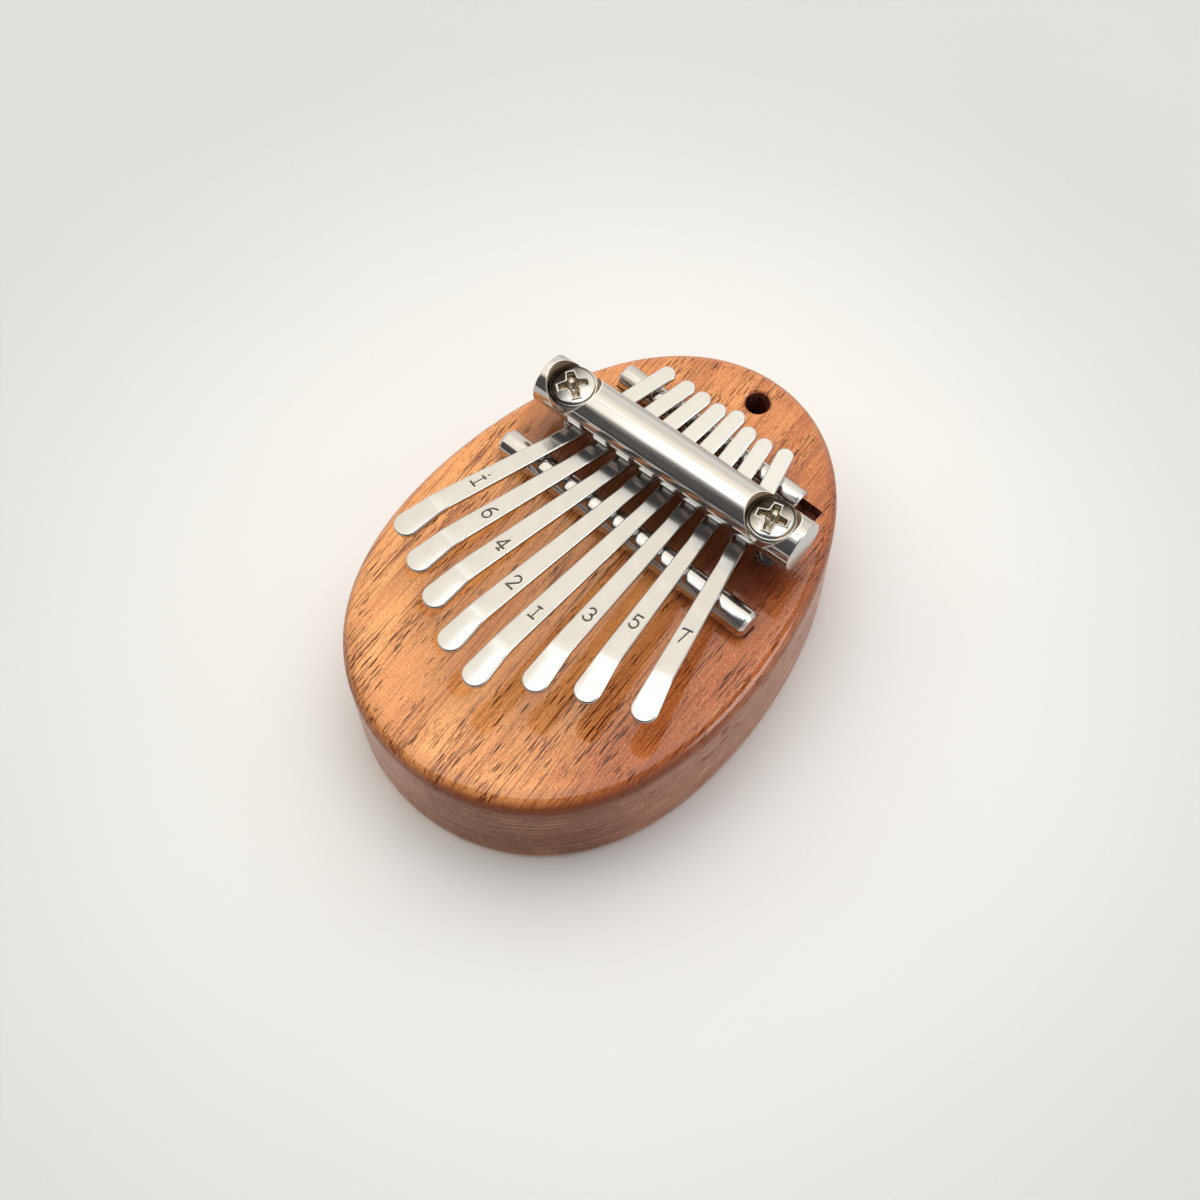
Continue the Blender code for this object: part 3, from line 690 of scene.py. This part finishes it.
def bar_material(rods, centre):
    """Polished steel with drawing lines along the bar, plain end faces and pale rims round the seats as a
    painted highlight; inside the seats, duller brownish steel with turned rings."""
    shade = Shade("polished clamp bar")
    wear = shade.wear(shade.place(turn=(0, 0, -rods.askew)), 0.10, 4.0)
    x, y, z = shade.xyz(shade.place())
    cos, sin = math.cos(rods.askew), math.sin(rods.askew)
    along = shade.times(y, sin, shade.times(x, cos))
    along = shade.math("SUBTRACT", along, (centre.x * cos + centre.y * sin) * MM)
    body = shade.math("LESS_THAN", shade.math("ABSOLUTE", along), rods.clamp_length / 2 - 0.05 * MM)
    scratches = shade.times(wear["Lines"], body)
    reaches = [shade.distance(x, y, screw_place(side, rods)) for side in (-1, 1)]
    within = shade.highest(*[shade.math("LESS_THAN", reach, 4.11 * MM) for reach in reaches])
    # Painted highlight: a thin pale, rougher ring round the edge of each seat
    rim = shade.highest(*[shade.math("COMPARE", reach, 4.19 * MM, 0.08 * MM) for reach in reaches])
    above = shade.math("GREATER_THAN", z, (centre.z + 0.35) * MM)
    seat, rim = shade.times(within, above), shade.times(rim, above)
    rings = shade.noise(shade.place((90, 90, 1700)), 2.0, 0.6)

    bright = shade.mix(shade.ramp(scratches, 0.4, 0.75, 0.5), look("steel"), look("steel", 0.72))
    # The pale rims are a painted highlight
    bright = shade.mix(rim, bright, (0.92, 0.91, 0.89))
    dull = shade.mix(shade.ramp(rings, 0.35, 0.65), (0.34, 0.235, 0.14), (0.80, 0.63, 0.45))
    shade.set(Base_Color=shade.mix(seat, bright, dull), Metallic=shade.times(seat, -0.9, 1.0))
    rough = shade.times(wear["Smears"], 0.06, 0.22)
    rough = shade.math("ADD", shade.ramp(scratches, 0.44, 0.62, 0.22), rough)
    rough = shade.times(rim, 0.28, shade.times(body, -0.16, rough))
    height = shade.times(shade.times(rings, seat), 3.0, scratches)
    shade.set(Roughness=shade.times(seat, 0.30, rough), Normal=shade.bump(height, 0.00001, 0.5))
    return shade.material


class KALIMBA_OT_clamp_bar(bpy.types.Operator):
    """Build the round clamp bar with its two turned screw seats"""

    bl_idname = "kalimba.clamp_bar"
    bl_label = "Clamp bar"

    def execute(self, context):
        rods = context.scene.kalimba_rods
        low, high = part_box("clamp_bar")
        centre = (low + high) / 2 / MM
        radius, half = rods.clamp_diameter / MM / 2, rods.clamp_length / MM / 2
        ease, floor, hole = 0.22, 0.4, 2.1
        turn = np.linspace(0, math.pi / 2, 6)
        end = coords(radius - ease + ease * np.sin(turn), half - ease + ease * np.cos(turn))
        profile = rod_profile(end, np.linspace(-half + 1.5, half - 1.5, 40))
        bar = turned("polished_clamp_bar", profile, 256)
        move_mesh(bar, lay_along_x(centre, rods.askew))
        cutters = []
        for side in (-1, 1):
            spot = Matrix.Translation((*screw_place(side, rods), centre.z))
            cutters.append(drum("seat", rods.seat_diameter / MM / 2, floor, 8, 192, spot))
            cutters.append(drum("through", hole, -8, 8, 64, spot))
        carve(bar, cutters)
        bar.data.materials.append(bar_material(rods, centre))
        edge = bar.modifiers.new("broken edges", "BEVEL")
        edge.width = 0.14 * MM
        edge.segments = 2
        edge.limit_method = "ANGLE"
        edge.angle_limit = math.radians(35)
        settle(bar)
        true_normals(bar, rods, centre)
        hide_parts("clamp_bar")
        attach(bar, "body")
        return {"FINISHED"}


# Screws


HEAD_SIDE, HEAD_DOME = 1.4, 1.05


def screw_surface(name, turn, dull):
    """Pan-head screw about +Z with the underside of its head at z = 0, as rings from the dome down. Dome
    rings: z is a flattened arc, less a shallow ring groove and the depth of the recess, which is turned by
    an angle. Then come the head's side and underside, and the shank, whose radius follows the thread: root
    plus a trapezoid of the phase z / pitch - angle / turn. Also stored are the shares of recess, of shank
    and of painted shade, which darkens the dome towards the angle dull and in the ring groove as dark
    reflections and shade."""
    columns = 224
    angle = np.arange(columns) * TAU / columns
    head, flat, groove = 3.85, 2.5, 3.35
    round_part = flat + (head - flat) * np.sin(np.linspace(0, math.pi / 2, 34))[1:]
    r = np.concatenate([np.linspace(0.03, flat, 84), round_part])[:, None]
    top = HEAD_SIDE + HEAD_DOME * np.maximum(1 - (r / head) ** 2.8, 0) ** 0.5
    top = top - 0.10 * np.exp(-(((r - groove) / 0.10) ** 2))
    depth = cross_recess(r * np.cos(angle - turn), r * np.sin(angle - turn))

    pitch, crest, root = 1.1, 1.75, 1.35
    side_z = np.append(np.linspace(HEAD_SIDE, 0.25, 6)[1:], (0.12, 0.03, 0.0, 0.0))[:, None]
    side_r = np.append(np.full(5, head), (head - 0.04, head - 0.12, head - 0.25, root + 0.02))[:, None]
    shank_z = np.linspace(-0.25, -16.0, 120)[:, None]
    phase = (shank_z / pitch - angle / TAU) % 1.0
    tooth = np.clip(1.9 - np.abs(phase - 0.5) * 7.0, 0, 1)
    fade = np.clip((-shank_z - 0.6) / 1.2, 0, 1)
    shank_r = root + (crest - root) * tooth * fade

    whole_turn = np.ones(columns)
    radius = np.concatenate([r * whole_turn, side_r * whole_turn, shank_r])
    z = np.concatenate([top - depth, side_z * whole_turn, shank_z * whole_turn])
    points = coords(radius * np.cos(angle), radius * np.sin(angle), z)
    screw = closed_rings(name, points, (0, 0, z[0].mean()), (0, 0, -17.0), 50.0, downward=True)

    shares = {share: np.zeros(z.size + 2) for share in ("recess", "shank", "film")}
    shares["recess"][: depth.size] = np.clip((depth - 0.08) / 0.3, 0, 1).ravel()
    shares["recess"][-2] = 1
    shares["shank"][depth.size + side_r.size * columns : -2] = 1
    # Painted shade: the dome darkens towards the angle dull and in the ring groove; the pressed lip is left
    # out
    aside = (r / head) * np.cos(angle - dull)
    ring = np.exp(-(((r - groove) / 0.13) ** 2))
    lip = np.clip(-depth / 0.05, 0, 1)
    shares["film"][: depth.size] = (np.clip(0.44 + 1.3 * aside + 0.8 * ring, 0, 1) * (1 - lip)).ravel()
    for share, values in shares.items():
        point_attribute(screw, share, values)
    return screw


def cross_recess(x, y):
    """Depth of a cross recess: the distance inside two crossed wings that widen towards the middle, eased
    where they meet, times a steep wall slope, and no deeper than a floor that falls towards the middle.
    Just outside, the pressed lip stands up a little, as a bell curve of the same distance."""
    reach, ease = 2.3, 0.30

    def wing(along, across):
        half = 0.52 + 0.34 * np.clip(1 - np.abs(along) / reach, 0, 1)
        return np.minimum(half - np.abs(across), (reach - np.abs(along)) * 0.8)

    wing_x, wing_y = wing(x, y), wing(y, x)
    blend = np.clip(0.5 + 0.5 * (wing_x - wing_y) / ease, 0, 1)
    inside = wing_y * (1 - blend) + wing_x * blend + ease * blend * (1 - blend)
    floor = 1.0 + 0.8 * np.exp(-(x * x + y * y) / 0.6)
    lip = 0.07 * np.exp(-(((inside + 0.11) / 0.11) ** 2))
    return np.maximum(np.minimum(inside * 3.2, floor), 0) - lip


def screw_material():
    """Nickel-plated head with painted shade on one side of the dome and in the ring groove, brownish in the
    recess; the shank is painted dark as shade under the clamp bar.
    """
    shade = Shade("nickel screw")
    wear = shade.wear(shade.place(), 0.3, 9.0)
    smears = wear["Smears"]
    recess, shank = shade.attribute("recess"), shade.attribute("shank")
    stained = shade.mix(shade.ramp(smears, 0.35, 0.7), (0.36, 0.30, 0.22), (0.58, 0.53, 0.45))
    # Painted shade on the head: dark on one side of the dome and in the ring groove
    film = shade.times(shade.attribute("film"), shade.ramp(smears, 0.30, 0.5, 1.0, 0.95))
    base = shade.mix(film, look("nickel"), (0.026, 0.021, 0.016))
    base = shade.mix(recess, base, stained)
    # The shank is painted dark, as shade under the clamp bar
    shade.set(Base_Color=shade.mix(shank, base, (0.19, 0.185, 0.18)), Metallic=1.0)
    rough = shade.times(recess, 0.08, shade.times(smears, 0.12, 0.11))
    shade.set(Roughness=shade.times(shank, 0.06, rough), Normal=shade.bump(wear["Specks"], 0.00001, 0.4))
    return shade.material


class KALIMBA_OT_clamp_screws(bpy.types.Operator):
    """Build the two cross-recess clamp screws with helical threads"""

    bl_idname = "kalimba.clamp_screws"
    bl_label = "Clamp screws"

    def execute(self, context):
        rods = context.scene.kalimba_rods
        finish = screw_material()
        nearer = 0.22
        # The last number of each entry is the angle towards which that head carries painted shade
        for side, node, turn, dull in ((-1, "clamp_screw_left", -36, 195), (1, "clamp_screw_right", 16, 140)):
            x, y = screw_place(side, rods)
            screw = screw_surface(node.replace("clamp_", "threaded_"), math.radians(turn), math.radians(dull))
            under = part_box(node)[1].z / MM - HEAD_SIDE - HEAD_DOME
            move_mesh(screw, Matrix.Translation((x, y - nearer, under)))
            screw.data.materials.append(finish)
            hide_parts(node)
            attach(screw, "body")
        return {"FINISHED"}


# Keys


# For the keys from left to right: the stamped degree, the x under the bar, the angle in plan in degrees, the
# length in front of the front bridge, and the length behind the rear bridge
KEYS = {
    "degree": ("1_high", "6", "4", "2", "1", "3", "5", "7"),
    "clamp_x": (-15.3, -10.7, -6.75, -2.7, 1.1, 5.1, 9.2, 14.2),
    "fan": (13.2, 10.4, 6.8, 2.9, -0.6, -4.6, -8.7, -14.3),
    "free": (24.6, 27.6, 30.2, 33.7, 35.4, 30.4, 26.9, 24.1),
    "tail": (4.3, 4.3, 4.3, 4.2, 5.1, 4.0, 4.0, 4.7),
}
SHOULDER, WAIST, REAR_WIDTH = 3.3, 2.6, 2.75


class KeyShape:
    """Plan and side profile of one key; s runs along it, 0 over the front bridge, positive to the rear."""

    def __init__(self, number, rods, keys):
        self.fan = math.radians(KEYS["fan"][number])
        slant, askew = math.tan(self.fan), math.tan(rods.askew)
        stretch = 1 / math.cos(self.fan)
        self.x = KEYS["clamp_x"][number] - (CLAMP_Y - FRONT_Y) * slant

        def crossing(y):
            """Where the key crosses a line parallel to the bar that passes x = 0 at y."""
            return (y - FRONT_Y + askew * self.x) / (1 - askew * slant) * stretch

        spoon_length, kink_behind = 7.6, 3.4
        self.tip_width = keys.tip_width / MM
        self.tip = -KEYS["free"][number]
        self.tip_centre = self.tip + self.tip_width / 2
        self.bend = self.tip + spoon_length
        self.kink, self.clamp = crossing(FRONT_Y + kink_behind), crossing(CLAMP_Y)
        self.rear = (REAR_Y - FRONT_Y) * stretch
        self.end = self.rear + KEYS["tail"][number]
        self.end_centre = self.end - REAR_WIDTH / 2

        slope, spoon = math.tan(math.radians(8.2)), math.tan(math.radians(7.0))
        front_radius, over_front, over_rear, dip = 2.3, 2.6, 2.3, 0.4
        at_front = FRONT_CREST - front_radius + over_front * math.hypot(1, slope)
        at_rear = math.sqrt(over_rear**2 - SLOT_HALF**2) + over_rear
        at_clamp = (at_front - kink_behind * slope + at_rear) / 2 - dip
        tail = (at_rear - at_clamp) / (self.rear - self.clamp)
        at_bend, at_kink = at_front - self.bend * slope, at_front - self.kink * slope
        at_end = at_rear + (self.end - self.rear) * tail
        self.s = np.array([self.tip, self.bend, self.kink, self.clamp, self.end])
        self.z = np.array([at_bend - spoon_length * spoon, at_bend, at_kink, at_clamp, at_end])

    def under(self, s):
        """Height of the underside above the wood: straight stretches, and near each corner a parabola."""
        slopes = np.diff(self.z) / np.diff(self.s)
        part = np.clip(np.searchsorted(self.s, s) - 1, 0, 3)
        z = self.z[part] + slopes[part] * (s - self.s[part])
        for corner, reach in ((1, 1.0), (2, 0.9), (3, 2.0)):
            inside = np.clip(reach - np.abs(s - self.s[corner]), 0, None)
            z = z + (slopes[corner] - slopes[corner - 1]) * inside**2 / (4 * reach)
        return z

    def slope(self, s):
        """Rise of the underside per length, from a small step either way."""
        return (self.under(s + 0.02) - self.under(s - 0.02)) / 0.04

    def half_width(self, s):
        """Half the width between the round ends."""
        places = (self.tip_centre, self.bend, self.kink, self.rear)
        return np.interp(s, places, (self.tip_width / 2, SHOULDER / 2, WAIST / 2, REAR_WIDTH / 2))


def arc(cx, cy, rx, ry, start, end, count):
    """Points (cx + rx cos a, cy + ry sin a) with a from start to end degrees."""
    a = np.radians(np.linspace(start, end, count))
    return coords(cx + rx * np.cos(a), cy + ry * np.sin(a))


def numeral(label):
    """Strokes of a plain slab-footed numeral in a cell one wide and one high, centred on zero."""
    one = [[(0, -0.45), (0, 0.45)], [(-0.24, 0.40), (0, 0.45), (0.20, 0.45)], [(-0.32, -0.45), (0.32, -0.45)]]
    hook = np.concatenate([arc(0, 0.21, 0.35, 0.29, 165, -25, 14), [(-0.36, -0.5)]])
    shapes = {
        "1": one,
        "1_high": one + [[(0.02, 0.80), (0.04, 0.82)]],
        "2": [hook, [(-0.36, -0.5), (0.40, -0.5)]],
        "3": [arc(-0.03, 0.25, 0.33, 0.25, 155, -85, 14), arc(-0.03, -0.23, 0.38, 0.27, 85, -155, 16)],
        "4": [[(0.14, -0.5), (0.14, 0.5), (-0.42, -0.2), (0.44, -0.2)], [(-0.04, -0.5), (0.34, -0.5)]],
        "5": [[(0.36, 0.5), (-0.24, 0.5), (-0.3, 0.06)], arc(-0.03, -0.18, 0.38, 0.32, 133, -150, 16)],
        "6": [arc(0.30, -0.18, 0.66, 0.70, 95, 178, 10), arc(0, -0.2, 0.36, 0.3, 0, 360, 22)],
        "7": [[(-0.42, 0.42), (-0.42, 0.5), (0.42, 0.5)], [(0.16, 0.5), (-0.22, -0.5)]],
    }
    return [np.asarray(stroke, float) for stroke in shapes[label]]


def stroke_distance(x, y, strokes):
    """Distance from each point to the nearest of a set of polylines, by clamped projection on each piece."""
    point = coords(x, y)
    nearest = np.full(x.shape, 9.0)
    for stroke in strokes:
        for a, b in zip(stroke[:-1], stroke[1:]):
            share = np.clip(((point - a) @ (b - a)) / ((b - a) @ (b - a)), 0, 1)
            gap = np.linalg.norm(point - a - share[..., None] * (b - a), axis=-1)
            nearest = np.minimum(nearest, gap)
    return nearest


def key_surface(name, key, sizes, label):
    """Closed key. Its plan outline is a loop of stations on the left and right edges, with round ends; loop
    k of the rim is that outline moved inwards by an inset at a depth below the top, both following quarter
    circles at the upper and lower edges. The upper face is a grid between the left and right edges, sunk
    where the numeral's strokes pass, and everything is then bent to the side profile, with the spoon a
    little crowned. Also stored are the share of stamp and the place on the strip."""
    thick, big, small = sizes.thick / MM, sizes.edge_round / MM, 0.16
    turn = np.radians(np.array([0.8, 6, 13, 21, 30, 39, 48, 57, 66, 75, 83]))
    digit = key.bend + 6.8
    straight = chained(
        key.tip_centre,
        (key.bend - 1.0, 12),
        (key.bend + 1.0, 14),
        (digit - 1.35, 8),
        (digit + 2.15, 96),
        (key.kink - 0.9, 14),
        (key.kink + 0.9, 14),
        (key.clamp - 2.0, 8),
        (key.clamp + 2.0, 12),
        (key.end_centre, 12),
    )
    stations = 2 * len(turn) + len(straight)

    def edge(inset):
        """Right-hand edge (x, s) of the outline moved inwards."""
        tip_r, end_r = key.tip_width / 2 - inset, REAR_WIDTH / 2 - inset
        rear = turn[::-1]
        x = np.concatenate([tip_r * np.sin(turn), key.half_width(straight) - inset, end_r * np.sin(rear)])
        tip_s, end_s = key.tip_centre - tip_r * np.cos(turn), key.end_centre + end_r * np.cos(rear)
        return x, np.concatenate([tip_s, straight, end_s])

    upper = np.linspace(0, math.pi / 2, 8)
    lower = np.linspace(0, math.pi / 2, 5)
    insets = np.concatenate([big * (1 - np.sin(upper)), small * (1 - np.cos(lower))])
    depths = np.concatenate([big * (1 - np.cos(upper)), thick - small + small * np.sin(lower)])
    loops = []
    for inset, depth in zip(insets, depths):
        x, s = edge(inset)
        loops.append(np.concatenate([coords(x, s, depth)[::-1], coords(-x, s, depth)]))
    count = 2 * stations
    rim = ring_quads(len(loops), count)

    columns, width, height = 84, 1.66, 2.36
    x, s = (values[:, None] for values in edge(big))
    x = x * np.linspace(-1, 1, columns)
    gap = stroke_distance(x / width, (s - digit) / height, numeral(label)) * (width + height) / 2
    press = eased(np.clip(1.2 - (gap / 0.135) ** 2, 0, 1))
    burr = np.exp(-(((gap - 0.22) / 0.07) ** 2))
    top = coords(x, s, sizes.stamp_depth / MM * press - 0.018 * burr)
    start = len(loops) * count
    index = np.arange(stations * columns).reshape(stations, columns) + start
    left, right = np.arange(stations) + stations, np.arange(stations)[::-1]
    index[:, 0], index[:, -1] = left, right
    face = coords(index[:-1, :-1], index[:-1, 1:], index[1:, 1:], index[1:, :-1]).reshape(-1, 4)
    belly = coords(right[:-1], left[:-1], left[1:], right[1:]) + start - count
    points = np.concatenate([*loops, top.reshape(-1, 3)])
    pressed = np.append(np.zeros(start), press.ravel())
    used = np.unique(np.concatenate([rim.ravel(), face.ravel(), belly.ravel()]))
    renumber = np.zeros(len(points), int)
    renumber[used] = np.arange(len(used))
    points, pressed = points[used], pressed[used]
    faces = [renumber[rim], renumber[face], renumber[belly]]

    aside, along, below = points.T
    across = (aside / (key.tip_width / 2)) ** 2
    spoon = eased(np.clip((key.bend + 0.6 - along) / 2.5, 0, 1))
    lagged = along + 0.55 * across * np.exp(-(((along - key.bend) / 1.6) ** 2))
    tilt = key.slope(along)
    size = (thick - below) / np.hypot(1, tilt)
    z = key.under(lagged) + size - 0.085 * across * spoon
    bent = along - tilt * size
    cos, sin = math.cos(key.fan), math.sin(key.fan)
    placed = coords(key.x + aside * cos + bent * sin, FRONT_Y - aside * sin + bent * cos, BODY_TOP + z)
    obj = mesh_object(name, placed, faces, 40.0)
    point_attribute(obj, "pressed", pressed)
    vertex = read(obj.data.loops, "vertex_index", 1, np.int32)
    layer = obj.data.uv_layers.new(name="strip")
    layer.data.foreach_set("uv", (points[vertex, :2] * MM).astype(np.float32).ravel())
    return obj


def key_material():
    """Satin spring steel: faint lengthwise rolling lines, cloudy smears, dark stamped numerals."""
    shade = Shade("spring steel")
    strip = shade.node("ShaderNodeUVMap", uv_map="strip").outputs["UV"]
    wear = shade.wear(shade.place(turn=(0, 0, math.pi / 2), source=strip), 0.35)
    lines, smears, pressed = wear["Lines"], wear["Smears"], shade.attribute("pressed")
    base = shade.mix(shade.ramp(lines, 0.35, 0.75, 0.22), look("key_steel"), look("key_steel", 0.82))
    base = shade.mix(shade.ramp(smears, 0.4, 0.75, 0.15), base, (0.78, 0.76, 0.72))
    shade.set(Base_Color=shade.mix(pressed, base, look("soot")), Metallic=1.0)
    rough = shade.times(pressed, 0.2, shade.times(smears, 0.08, 0.11))
    height = shade.times(wear["Specks"], -0.6, lines)
    shade.set(Roughness=rough, Normal=shade.bump(height, 0.000006, 0.35))
    return shade.material


class KALIMBA_OT_keys(bpy.types.Operator):
    """Build the eight spring keys with their stamped scale degrees"""

    bl_idname = "kalimba.keys"
    bl_label = "Spring keys"

    def execute(self, context):
        rods, sizes = context.scene.kalimba_rods, context.scene.kalimba_keys
        finish = key_material()
        for number in range(8):
            key = KeyShape(number, rods, sizes)
            obj = key_surface(f"spring_key_{number + 1}", key, sizes, KEYS["degree"][number])
            obj.data.materials.append(finish)
            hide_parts(f"tine_{number + 1}")
            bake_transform(obj)
        return {"FINISHED"}


# Stage


# Shares of the distance behind the middle of the sky, each with the light of the panel there
PANEL_STOPS = (
    (0.086, (2.10, 2.09, 2.04)),
    (0.129, (1.70, 1.65, 1.52)),
    (0.171, (1.52, 1.43, 1.23)),
    (0.229, (1.50, 1.40, 1.19)),
    (0.300, (1.32, 1.24, 1.10)),
    (0.400, (1.25, 1.18, 1.08)),
    (0.570, (1.20, 1.15, 1.06)),
    (1.000, (1.22, 1.17, 1.08)),
)
BLACK = (0.0, 0.0, 0.0)


class KALIMBA_OT_stage(bpy.types.Operator):
    """Set the pale floor, the soft studio light and the camera"""

    bl_idname = "kalimba.stage"
    bl_label = "Stage"

    def execute(self, context):
        scene = context.scene
        self.floor()
        self.sky(scene)
        self.lamp(scene)
        self.camera(scene)
        scene.view_settings.view_transform = "Standard"
        return {"FINISHED"}

    def floor(self):
        """Flat sheet three metres across, as one quad, with a painted pool of light: a little darker away
        from the middle.
        """
        corners = np.array([(-1, -1, 0), (1, -1, 0), (1, 1, 0), (-1, 1, 0)]) * 1500
        floor = mesh_object("floor", corners, [np.array([[0, 1, 2, 3]])])
        shade = Shade("pale floor")
        cloud = shade.noise(shade.place(), scale=14.0)
        pale = shade.mix(shade.ramp(cloud, 0.3, 0.7), look("floor"), look("floor", 0.985))
        # Painted pool of light: the floor darkens away from the middle
        spread = shade.vector_math("LENGTH", shade.place((1, 1, 0)))["Value"]
        shade.set(Base_Color=shade.mix(shade.ramp(spread, 0.040, 0.13, 0.22), pale, BLACK))
        shade.set(Roughness=0.75, Specular_IOR_Level=0.2)
        floor.data.materials.append(shade.material)

    def sky(self, scene):
        """Soft light: a wide panel behind and overhead, a window low on the right, seen only in reflections,
        and a dim room on the viewer's side that pales to the right. A direction (x, y, z) is read as its
        spot (u, v) = (x / z, y / z) on a ceiling."""
        world = bpy.data.worlds.new("studio")
        world.use_nodes = True
        scene.world = world
        shade = Shade("studio", world.node_tree)
        toward = shade.node("ShaderNodeTexCoord").outputs["Generated"]
        x, y, z = shade.xyz(toward)
        up = shade.highest(z, 0.02)
        u, v = shade.math("DIVIDE", x, up), shade.math("DIVIDE", y, up)

        def line(of_u, of_v, offset):
            """The sum of_u * u + of_v * v + offset, a signed distance from a straight line on the ceiling."""
            return shade.times(u, of_u, shade.times(v, of_v, offset))

        panel = shade.ramp(line(-0.93, 0.30, -0.162), -0.105, -0.03)
        panel = shade.times(panel, shade.ramp(line(-0.38, 0.92, 0.43), -0.115, -0.03))
        flap = shade.times(shade.ramp(line(-0.40, 0.92, 0.09), -0.07, 0.05), shade.ramp(u, 0.55, 0.25))
        panel = shade.highest(panel, flap)
        away = shade.math("DIVIDE", line(-0.678, 0.735, 0.0), 3.5)
        bands = shade.node("ShaderNodeValToRGB", {"Fac": away})
        elements = bands.color_ramp.elements
        while len(elements) < len(PANEL_STOPS):
            elements.new(0.5)
        for element, (place, shine) in zip(elements, PANEL_STOPS):
            element.position = place
            element.color = (*shine, 1.0)
        behind = shade.mix(shade.ramp(u, -0.40, -0.52, 0.07), bands.outputs["Color"], BLACK)
        left = shade.times(shade.ramp(u, -0.318, -0.37), shade.ramp(v, 0.20, 0.12, 0.85))
        behind = shade.mix(left, behind, (1.36, 1.25, 1.05))

        dim = shade.mix(shade.ramp(z, 0.0, 0.8), (0.085, 0.080, 0.078), (0.125, 0.12, 0.118))
        right = shade.times(y, 0.6775, shade.times(x, 0.7355))
        side = shade.times(shade.ramp(right, 0.2, 0.8), shade.ramp(z, 0.7, 0.4))
        light = shade.mix(panel, shade.mix(side, dim, (0.95, 0.92, 0.88)), behind)

        middle = tuple(Vector((0.85, 0.38, 0.36)).normalized())
        near = shade.vector_math("DOT_PRODUCT", toward, middle)["Value"]
        mirrored = shade.node("ShaderNodeLightPath").outputs["Is Glossy Ray"]
        window = shade.times(shade.ramp(near, 0.955, 0.985), mirrored)
        light = shade.mix(1.0, light, shade.mix(window, BLACK, (4.2, 4.15, 4.1)), "ADD")
        light = shade.mix(1.0, light, shade.mix(mirrored, (0.25, 0.247, 0.24), BLACK), "ADD")
        shade.feed(shade.tree.nodes["Background"].inputs["Color"], light)

    def lamp(self, scene):
        """Soft lamp above and behind, unseen in the metal, that gives the shadows their side."""
        lamp = bpy.data.lights.new("soft lamp", "AREA")
        lamp.energy = 1.3
        lamp.shape = "SQUARE"
        lamp.size = 0.7
        holder = bpy.data.objects.new("soft lamp", lamp)
        holder.location = (-0.22, 0.24, 1.0)
        holder.rotation_euler = Vector(holder.location).to_track_quat("Z", "Y").to_euler()
        holder.visible_glossy = False
        scene.collection.objects.link(holder)

    def camera(self, scene):
        """Place the camera by the azimuth, elevation, roll and offsets that fit the view."""
        a, e, roll = (math.radians(x) for x in (42.652, 63.55, -1.454))
        back = Vector((math.sin(a) * math.cos(e), -math.cos(a) * math.cos(e), math.sin(e)))
        right = Vector((math.cos(a), math.sin(a), 0))
        up = back.cross(right)
        side = right * math.cos(roll) + up * math.sin(roll)
        lift = up * math.cos(roll) - right * math.sin(roll)
        place = -(side * 0.177 + lift * 5.828 - back * 271.257)
        place = (place + Vector((0, 0, BODY_TOP))) * MM
        data = bpy.data.cameras.new("view")
        data.sensor_width = 36.0
        data.lens = 1817.181 / 1200 * 36.0
        data.clip_start, data.clip_end = 0.01, 20.0
        camera = bpy.data.objects.new("view", data)
        turn = Matrix((side, lift, back)).transposed().to_4x4()
        camera.matrix_world = Matrix.Translation(place) @ turn
        scene.collection.objects.link(camera)
        scene.camera = camera


class KALIMBA_PT_panel(bpy.types.Panel):
    """Lists the kalimba's operators and settings"""

    bl_idname = "KALIMBA_PT_panel"
    bl_label = "Kalimba"
    bl_space_type = "VIEW_3D"
    bl_region_type = "UI"
    bl_category = "Kalimba"

    def draw(self, context):
        layout = self.layout
        for operator in OPERATORS:
            layout.operator(operator.bl_idname)
        for group in GROUPS:
            settings = getattr(context.scene, group)
            box = layout.box()
            for key in settings.bl_rna.properties.keys():
                if key not in ("rna_type", "name"):
                    box.prop(settings, key)


OPERATORS = (
    KALIMBA_OT_body,
    KALIMBA_OT_bridges,
    KALIMBA_OT_clamp_bar,
    KALIMBA_OT_clamp_screws,
    KALIMBA_OT_keys,
    KALIMBA_OT_stage,
)
GROUPS = {
    "kalimba_body": KalimbaBodySizes,
    "kalimba_rods": KalimbaRodSizes,
    "kalimba_keys": KalimbaKeySizes,
    "kalimba_colours": KalimbaColours,
}
CLASSES = (*GROUPS.values(), *OPERATORS, KALIMBA_PT_panel)


def register():
    """Register the classes and hang the settings on the scene."""
    for cls in CLASSES:
        bpy.utils.register_class(cls)
    for name, cls in GROUPS.items():
        setattr(bpy.types.Scene, name, bpy.props.PointerProperty(type=cls))


def unregister():
    """Undo what register does."""
    for name in GROUPS:
        delattr(bpy.types.Scene, name)
    for cls in reversed(CLASSES):
        bpy.utils.unregister_class(cls)


def main():
    """Build every piece and the stage."""
    register()
    bpy.ops.kalimba.body()
    bpy.ops.kalimba.bridges()
    bpy.ops.kalimba.clamp_bar()
    bpy.ops.kalimba.clamp_screws()
    bpy.ops.kalimba.keys()
    bpy.ops.kalimba.stage()


if __name__ == "__main__":
    main()
